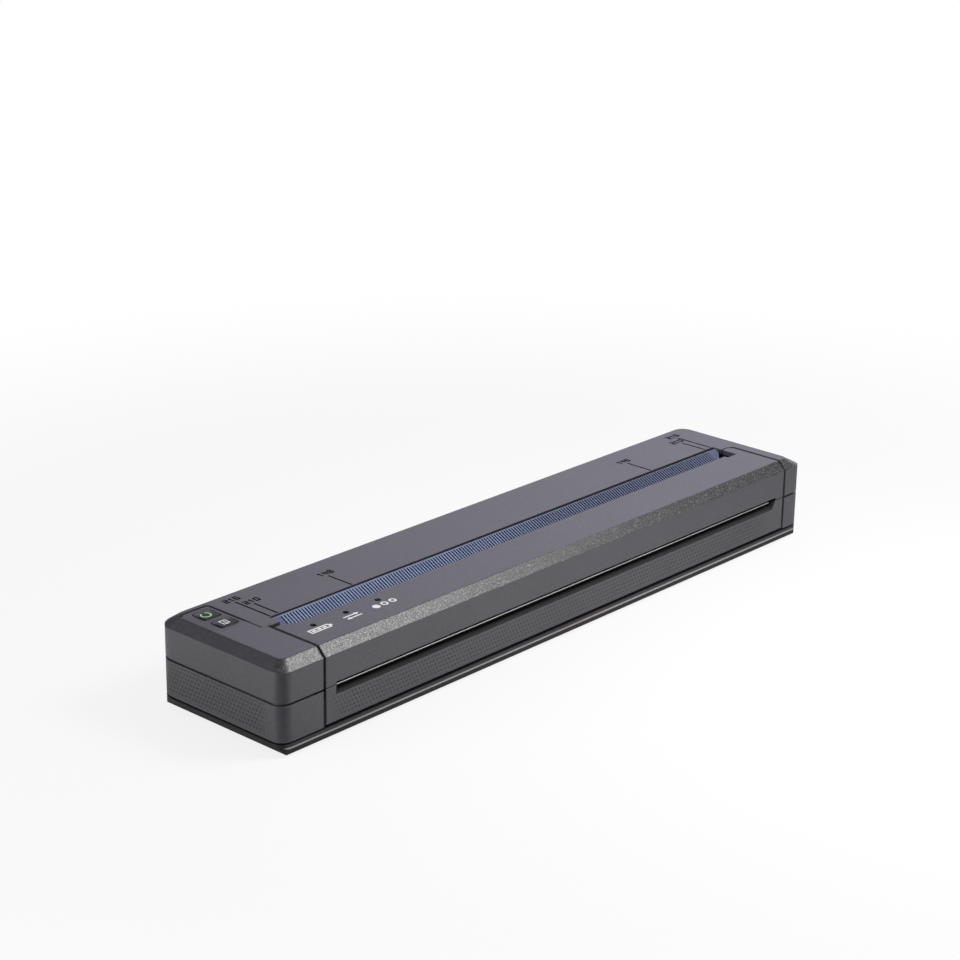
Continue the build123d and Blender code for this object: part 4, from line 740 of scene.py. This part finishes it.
PICTOGRAM_LINE = 0.55 * MM
PICTOGRAM_FRONT = -17.5 * MM
PICTOGRAM_REAR = -14.9 * MM
PICTOGRAM_MIDDLE = (PICTOGRAM_FRONT + PICTOGRAM_REAR) / 2
BATTERY_LEFT = -105.2 * MM
BATTERY_RIGHT = -97.0 * MM
BATTERY_POLE_LENGTH = 0.8 * MM
BATTERY_POLE_HALF = 0.6 * MM
CELL_FIRST = 1.05 * MM
CELL_PITCH = 2.1 * MM
CELL_LENGTH = 1.6 * MM
CELL_MARGIN = 0.85 * MM
ARROWS_LEFT = -90.6 * MM
ARROWS_RIGHT = -84.2 * MM
ARROW_INSET = 0.5 * MM
ARROW_HEAD_LENGTH = 1.7 * MM
ARROW_HEAD_HALF = 0.8 * MM
RINGS_FIRST = -77.4 * MM
RINGS_PITCH = 3.5 * MM
RINGS_INNER = 0.68 * MM
RINGS_OUTER = 1.3 * MM

LIGHT_RING = (0.62 * MM, 1.0 * MM)


def print_faces(surface):
    """Heights of the lower and upper face of a print on a flat surface."""
    return surface - PRINT_LIFT, surface + PRINT_LIFT


def add_stroke(bm, start, end, width, z0, z1):
    """Adds a flat bar with square ends between two points."""
    ax, ay = start
    bx, by = end
    length = math.hypot(bx - ax, by - ay)
    ux, uy = (bx - ax) / length * width / 2, (by - ay) / length * width / 2
    ax, ay, bx, by = ax - ux, ay - uy, bx + ux, by + uy
    add_plate(bm, [(ax + uy, ay - ux), (bx + uy, by - ux), (bx - uy, by + ux), (ax - uy, ay + ux)], z0, z1)


def guide_number(name, text, centre):
    """A paper width on the deck, read from the front and built from straight strokes."""
    bm = bmesh.new()
    for i, digit in enumerate(text):
        left = centre[0] + (i - (len(text) - 1) / 2) * DIGIT_PITCH - DIGIT_WIDTH / 2
        foot = centre[1] - DIGIT_HEIGHT / 2
        for x0, y0, x1, y1 in STROKES[digit]:
            start = (left + x0 * DIGIT_WIDTH / 2, foot + y0 * DIGIT_HEIGHT / 2)
            end = (left + x1 * DIGIT_WIDTH / 2, foot + y1 * DIGIT_HEIGHT / 2)
            add_stroke(bm, start, end, DIGIT_STROKE, *print_faces(ROOF))
    new_object(name, bm, BLACK_INK, "body")


def guide_lines():
    """Black paper-width lines on the deck, each with its number."""
    bm = bmesh.new()
    half = GUIDE_LINE_WIDTH / 2
    for x, rear, _, _ in GUIDE_LINES:
        add_box(bm, x - half, x + half, GUIDE_LINE_FRONT, rear, *print_faces(ROOF))
    new_object("guide_lines", bm, BLACK_INK, "body")
    for i, (x, rear, text, shift) in enumerate(GUIDE_LINES):
        guide_number("guide_number_%d" % (i + 1), text, (x + shift, rear + DIGIT_HEIGHT))


def power_symbol():
    """Pale green on-off ring on the power key, with a deeper green round it and in its bar."""
    faces = print_faces(high("power_button")[2])
    cx, cy = POWER_CENTRE
    bm = bmesh.new()
    add_arc_band(bm, POWER_CENTRE, POWER_RING, OPEN_AT_REAR, faces, 40)
    new_object("power_ring", bm, PALE_GREEN, "power_key")
    bm = bmesh.new()
    add_arc_band(bm, POWER_CENTRE, GLOW_INSIDE, OPEN_AT_REAR, faces, 36)
    add_arc_band(bm, POWER_CENTRE, GLOW_OUTSIDE, FULL_TURN, faces, 40)
    add_box(bm, cx - POWER_BAR_HALF, cx + POWER_BAR_HALF, cy + POWER_BAR_FRONT, cy + POWER_BAR_REAR, *faces)
    new_object("power_glow", bm, GREEN_INK, "power_key")


def feed_symbol():
    """Pale sheet, open in front, with an arrow that leaves it, on the feed key."""
    faces = print_faces(high("feed_button")[2])
    cx, cy = FEED_CENTRE
    left, right = cx - SHEET_HALF_WIDTH, cx + SHEET_HALF_WIDTH
    front, rear = cy - SHEET_HALF_HEIGHT, cy + SHEET_HALF_HEIGHT
    tip = front - FEED_TIP_OVERHANG
    head = tip + FEED_TIP_LENGTH
    bm = bmesh.new()
    add_box(bm, left, left + FEED_LINE, front, rear, *faces)
    add_box(bm, right - FEED_LINE, right, front, rear, *faces)
    add_box(bm, left + FEED_LINE, right - FEED_LINE, rear - FEED_LINE, rear, *faces)
    add_box(bm, cx - FEED_LINE / 2, cx + FEED_LINE / 2, cy + SHAFT_FRONT, cy + SHAFT_REAR, *faces)
    add_plate(bm, [(cx, tip), (cx + FEED_TIP_HALF, head), (cx - FEED_TIP_HALF, head)], *faces)
    new_object("feed_symbol", bm, WHITE_INK, "feed_key")


def battery_pictogram():
    """White battery with three cells in front of the first status light."""
    faces = print_faces(ROOF)
    line, front, rear = PICTOGRAM_LINE, PICTOGRAM_FRONT, PICTOGRAM_REAR
    x0, x1 = BATTERY_LEFT, BATTERY_RIGHT
    bm = bmesh.new()
    add_box(bm, x0, x1, rear - line, rear, *faces)
    add_box(bm, x0, x1, front, front + line, *faces)
    add_box(bm, x0, x0 + line, front + line, rear - line, *faces)
    add_box(bm, x1 - line, x1, front + line, rear - line, *faces)
    pole_front, pole_rear = PICTOGRAM_MIDDLE - BATTERY_POLE_HALF, PICTOGRAM_MIDDLE + BATTERY_POLE_HALF
    add_box(bm, x1, x1 + BATTERY_POLE_LENGTH, pole_front, pole_rear, *faces)
    for i in range(3):
        start = x0 + CELL_FIRST + i * CELL_PITCH
        add_box(bm, start, start + CELL_LENGTH, front + CELL_MARGIN, rear - CELL_MARGIN, *faces)
    new_object("battery_pictogram", bm, WHITE_INK, "cover")


def arrows_pictogram():
    """White arrows to the right and to the left in front of the second status light."""
    faces = print_faces(ROOF)
    half = PICTOGRAM_LINE / 2
    bm = bmesh.new()
    for y, near, far, way in (
        (PICTOGRAM_REAR - ARROW_INSET, ARROWS_LEFT, ARROWS_RIGHT, 1),
        (PICTOGRAM_FRONT + ARROW_INSET, ARROWS_RIGHT, ARROWS_LEFT, -1),
    ):
        base = far - way * ARROW_HEAD_LENGTH
        add_box(bm, min(near, base), max(near, base), y - half, y + half, *faces)
        head = [(base, y - way * ARROW_HEAD_HALF), (far, y), (base, y + way * ARROW_HEAD_HALF)]
        add_plate(bm, head, *faces)
    new_object("arrows_pictogram", bm, WHITE_INK, "cover")


def rings_pictogram():
    """White disc and two white rings in front of the third status light."""
    bm = bmesh.new()
    for i in range(3):
        centre = (RINGS_FIRST + i * RINGS_PITCH, PICTOGRAM_MIDDLE)
        radii = (RINGS_INNER if i else 0.0, RINGS_OUTER)
        add_arc_band(bm, centre, radii, FULL_TURN, print_faces(ROOF), 28)
    new_object("rings_pictogram", bm, WHITE_INK, "cover")


def light_rings():
    """Black rings round the status lights."""
    bm = bmesh.new()
    for x in LIGHT_PLACES:
        add_arc_band(bm, (x, LIGHT_ROW), LIGHT_RING, FULL_TURN, print_faces(ROOF), 28)
    new_object("light_rings", bm, BLACK_INK, "cover")


# ==== small fasteners and board parts ====
SCREW_X = 0.7 * HALF_LENGTH
SCREW_Y = 0.66 * HALF_DEPTH
SCREW_RADIUS = 2.2 * MM
SCREW_HEIGHT = 0.5 * MM
SCREW_STEPS = 36
# Shares of the screw head's radius and height, from inside the base to the rim of the socket.
SCREW_DOME = ((1.0, -0.3), (1.0, 0.35), (0.93, 0.75), (0.75, 0.98))
SOCKET_RADIUS = 0.45 * SCREW_RADIUS
SOCKET_FLOOR = 0.35

# Length, width and height of the small board parts, in millimetres.
PART_SIZES = ((1.6, 0.8, 0.5), (2.0, 1.25, 0.8), (1.0, 0.5, 0.4))
PART_COUNT = 46
PARTS_LEFT = low("main_board")[0] + 8 * MM
PARTS_RIGHT = high("main_board")[0] - 30 * MM
END_CAP_SHARE = 0.22
END_CAP_RISE = 1.04

GRIP_RADIUS = 0.35 * MM
GRIP_BULGE = 0.8
GRIP_HALF_LENGTH = 7.0 * MM
GRIP_FIRST = 1.6 * MM
GRIP_PITCH = 1.3 * MM
GRIP_STEPS = 8


def add_screw(bm, x, y, z):
    """Adds a domed screw head that faces down, with a hexagonal socket."""
    hexagon = []
    for i in range(SCREW_STEPS):
        angle = math.radians((i * 360 / SCREW_STEPS) % 60 - 30)
        hexagon.append(SOCKET_RADIUS * math.cos(math.radians(30)) / math.cos(angle))
    rings = [([SCREW_RADIUS * share] * SCREW_STEPS, rise) for share, rise in SCREW_DOME]
    rings += [(hexagon, 1.0), (hexagon, SOCKET_FLOOR)]
    loops = []
    for radii, rise in rings:
        loop = []
        for i, radius in enumerate(radii):
            angle = 2 * math.pi * i / SCREW_STEPS
            place = (x + radius * math.cos(angle), y + radius * math.sin(angle), z - SCREW_HEIGHT * rise)
            loop.append(bm.verts.new(place))
        loops.append(loop)
    for a, b in zip(loops, loops[1:]):
        for i in range(SCREW_STEPS):
            j = (i + 1) % SCREW_STEPS
            bm.faces.new((b[i], b[j], a[j], a[i]))
    bm.faces.new(list(reversed(loops[-1])))
    bm.faces.new(loops[0])


def base_screws():
    """Six screws under the base."""
    bm = bmesh.new()
    for x in (-SCREW_X, 0.0, SCREW_X):
        for y in (-SCREW_Y, SCREW_Y):
            add_screw(bm, x, y, BASE_UNDERSIDE)
    new_object("base_screws", bm, MATERIALS["steel"], "body")


def board_parts():
    """Small resistors and capacitors with metal end caps along the front of the main board."""
    top = high("main_board")[2]
    front = low("main_board")[1]
    draw = random.Random(11)
    bm = bmesh.new()
    for i in range(PART_COUNT):
        x = PARTS_LEFT + (PARTS_RIGHT - PARTS_LEFT) * (i + draw.uniform(-0.3, 0.3)) / PART_COUNT
        y = front + draw.uniform(1.4, 4.8) * MM
        length, width, height = (size * MM for size in draw.choice(PART_SIZES))
        cap = length * END_CAP_SHARE
        left, right = x - length / 2, x + length / 2
        y0, y1 = y - width / 2, y + width / 2
        add_box(bm, left + cap, right - cap, y0, y1, top, top + height)
        first = len(bm.faces)
        for start in (left, right - cap):
            add_box(bm, start, start + cap, y0, y1, top, top + height * END_CAP_RISE)
        bm.faces.ensure_lookup_table()
        for face in bm.faces[first:]:
            face.material_index = 1
    piece = new_object("board_parts", bm, MATERIALS["chip_plastic"], "body")
    piece.data.materials.append(MATERIALS["socket_metal"])


def door_grip():
    """Three half-round ridges below the notch, for opening the battery door."""
    back = high("battery_door")[1]
    top = high("battery_door")[2]
    bm = bmesh.new()
    for i in range(3):
        z = top - GRIP_FIRST - i * GRIP_PITCH
        outline = []
        for k in range(GRIP_STEPS + 1):
            angle = math.pi * k / GRIP_STEPS
            out = GRIP_RADIUS * math.sin(angle) * GRIP_BULGE
            outline.append((back + out, z - GRIP_RADIUS * math.cos(angle)))
        left = [bm.verts.new((-GRIP_HALF_LENGTH, y, height)) for y, height in outline]
        right = [bm.verts.new((GRIP_HALF_LENGTH, y, height)) for y, height in outline]
        for k in range(GRIP_STEPS):
            bm.faces.new((left[k], left[k + 1], right[k + 1], right[k]))
        bm.faces.new((left[-1], left[0], right[0], right[-1]))
        bm.faces.new(left)
        bm.faces.new(list(reversed(right)))
    bmesh.ops.recalc_face_normals(bm, faces=bm.faces[:])
    new_object("door_grip", bm, MATERIALS["case_plastic"], "door")


# ==== stage ====
# Angles are in degrees, and the focal length is in pixels of the photograph.
CAMERA_AZIMUTH = -47.78
CAMERA_ELEVATION = 19.90
CAMERA_ROLL = 0.808
CAMERA_DISTANCE = 807.6 * MM
CAMERA_TARGET = Vector((0.0, 12.45 * MM, 43.4 * MM))
CAMERA_FOCAL = 2448.9
CAMERA_NEAR_CLIP = 20 * MM
FRAME_WIDTH = 960.0
SENSOR_WIDTH = 36.0

FLOOR_HALF = 6.0
# Distances from the floor's middle where it starts to turn white and where it is white, and the shares.
WHITE_FROM_TO = (0.16, 0.42)
WHITE_SHARES = (0.82, 1.0)
# What gloss sees of the floor: a dark patch before the front bevel's corner, dark behind the object,
# and darker towards its right end.
DARK_LEVEL = 0.03
DARK_PATCH = (-0.165, -0.070)
DARK_PATCH_EDGE = (0.075, 0.030)
DARK_BEHIND = (0.15, 0.21)
DARK_TO_RIGHT = (-0.08, 0.20)
DARK_RIGHT_SHARE = 0.32

SOFT_COLOR = grey(0.8)
SOFT_STRENGTH = 0.5
REFLECTION_TINT = (0.96, 0.94, 1.10, 1.0)
# Directions of two bright areas that gloss sees, and for each the cosines where it starts and where it
# is full, with the strengths there.
BRIGHT_SIDE = (Vector((0.92, 0.38, 0.10)).normalized(), (0.67, 1.0, 0.08, 1.63))
BRIGHT_CORNER = (Vector((0.10, -0.40, 0.91)).normalized(), (0.82, 0.96, 0.0, 0.55))

# Place, side and power of each lamp.
KEY_LAMP = ((0.10, -0.20, 0.275), 0.15, 0.92)
FILL_LAMP = ((-0.9, 0.28, 0.14), 0.5, 4.4)


def floor_material():
    """Pale paper that is white to the camera away from the object, and partly dark to gloss."""
    n = Nodes("floor_paper")
    x, y, _ = n.place()
    n.finish(n.mix(n.noise(2 * MM, 2.0), grey(0.86), grey(0.88)), 0.85, specular=0.1)
    path = n.new("ShaderNodeLightPath").outputs
    white = n.ramp(n.length(x, y), *WHITE_FROM_TO, *WHITE_SHARES)
    shown = n.blend(n.times(path["Is Camera Ray"], white), n.shader.outputs[0], n.emission(1.0))
    patch = n.ramp(n.length(n.minus(x, DARK_PATCH[0]), n.minus(y, DARK_PATCH[1])), *DARK_PATCH_EDGE)
    behind = n.ramp(n.plus(x, y), *DARK_BEHIND)
    to_right = n.ramp(x, *DARK_TO_RIGHT, 0.0, DARK_RIGHT_SHARE)
    dark = n.times(path["Is Glossy Ray"], n.most(patch, behind, to_right))
    n.link(n.blend(dark, shown, n.emission(DARK_LEVEL)), n.output.inputs[0])
    return n.material


def add_floor():
    """Flat floor under the object."""
    bm = bmesh.new()
    bmesh.ops.create_grid(bm, x_segments=1, y_segments=1, size=FLOOR_HALF)
    mesh = bpy.data.meshes.new("floor")
    bm.to_mesh(mesh)
    bm.free()
    floor = bpy.data.objects.new("floor", mesh)
    bpy.context.scene.collection.objects.link(floor)
    floor.data.materials.append(floor_material())


def studio_world():
    """White for the camera, two bright areas for gloss, and a soft even light on everything else."""
    world = bpy.data.worlds.new("studio")
    bpy.context.scene.world = world
    world.use_nodes = True
    tree = world.node_tree
    tree.nodes.clear()

    def node(kind, *values, **settings):
        """A node with its settings, whose first inputs are linked to sockets or set to numbers."""
        made = tree.nodes.new(kind)
        for name, value in settings.items():
            setattr(made, name, value)
        for socket, value in zip(made.inputs, values):
            if isinstance(value, bpy.types.NodeSocket):
                tree.links.new(value, socket)
            else:
                socket.default_value = value
        return made.outputs

    def bright_area(direction, span):
        """Strength that rises towards a direction."""
        way = node("ShaderNodeTexCoord")["Generated"]
        toward = node("ShaderNodeVectorMath", way, direction, operation="DOT_PRODUCT")["Value"]
        return node("ShaderNodeMapRange", toward, *span, interpolation_type="SMOOTHSTEP")[0]

    path = node("ShaderNodeLightPath")
    seen = node("ShaderNodeBackground", grey(1.0))[0]
    soft = node("ShaderNodeBackground", SOFT_COLOR, SOFT_STRENGTH)[0]
    side, corner = bright_area(*BRIGHT_SIDE), bright_area(*BRIGHT_CORNER)
    bright = node("ShaderNodeMath", side, corner, operation="ADD")[0]
    mirrored = node("ShaderNodeBackground", REFLECTION_TINT, bright)[0]
    to_camera, through = path["Is Camera Ray"], path["Is Transmission Ray"]
    straight = node("ShaderNodeMath", to_camera, through, operation="MAXIMUM")[0]
    other = node("ShaderNodeMixShader", path["Is Glossy Ray"], soft, mirrored)[0]
    whole = node("ShaderNodeMixShader", straight, other, seen)[0]
    node("ShaderNodeOutputWorld", whole)


def lamp(name, place, side, power):
    """Square soft lamp that points at the object."""
    data = bpy.data.lights.new(name, "AREA")
    data.shape = "SQUARE"
    data.size = side
    data.energy = power
    light = bpy.data.objects.new(name, data)
    bpy.context.scene.collection.objects.link(light)
    light.location = place
    light.rotation_euler = (-Vector(place)).to_track_quat("-Z", "Y").to_euler()


def camera():
    """Camera at the photograph's viewpoint, fitted to the housing's edges."""
    azimuth = math.radians(CAMERA_AZIMUTH)
    elevation = math.radians(CAMERA_ELEVATION)
    roll = math.radians(CAMERA_ROLL)
    flat = math.cos(elevation)
    back = Vector((math.sin(azimuth) * flat, -math.cos(azimuth) * flat, math.sin(elevation)))
    right = (-back).cross(Vector((0, 0, 1))).normalized()
    up = back.cross(right)
    right_rolled = right * math.cos(roll) + up * math.sin(roll)
    up_rolled = up * math.cos(roll) - right * math.sin(roll)
    data = bpy.data.cameras.new("camera")
    data.sensor_width = SENSOR_WIDTH
    data.lens = CAMERA_FOCAL * SENSOR_WIDTH / FRAME_WIDTH
    data.clip_start = CAMERA_NEAR_CLIP
    view = bpy.data.objects.new("camera", data)
    bpy.context.scene.collection.objects.link(view)
    turn = Matrix((right_rolled, up_rolled, back)).transposed()
    view.matrix_world = Matrix.Translation(CAMERA_TARGET + back * CAMERA_DISTANCE) @ turn.to_4x4()
    bpy.context.scene.camera = view


dress_nodes()
guide_lines()
power_symbol()
feed_symbol()
battery_pictogram()
arrows_pictogram()
rings_pictogram()
light_rings()
base_screws()
board_parts()
door_grip()
add_floor()
studio_world()
lamp("key", *KEY_LAMP)
lamp("fill", *FILL_LAMP)
camera()
bpy.context.scene.view_settings.view_transform = "Standard"
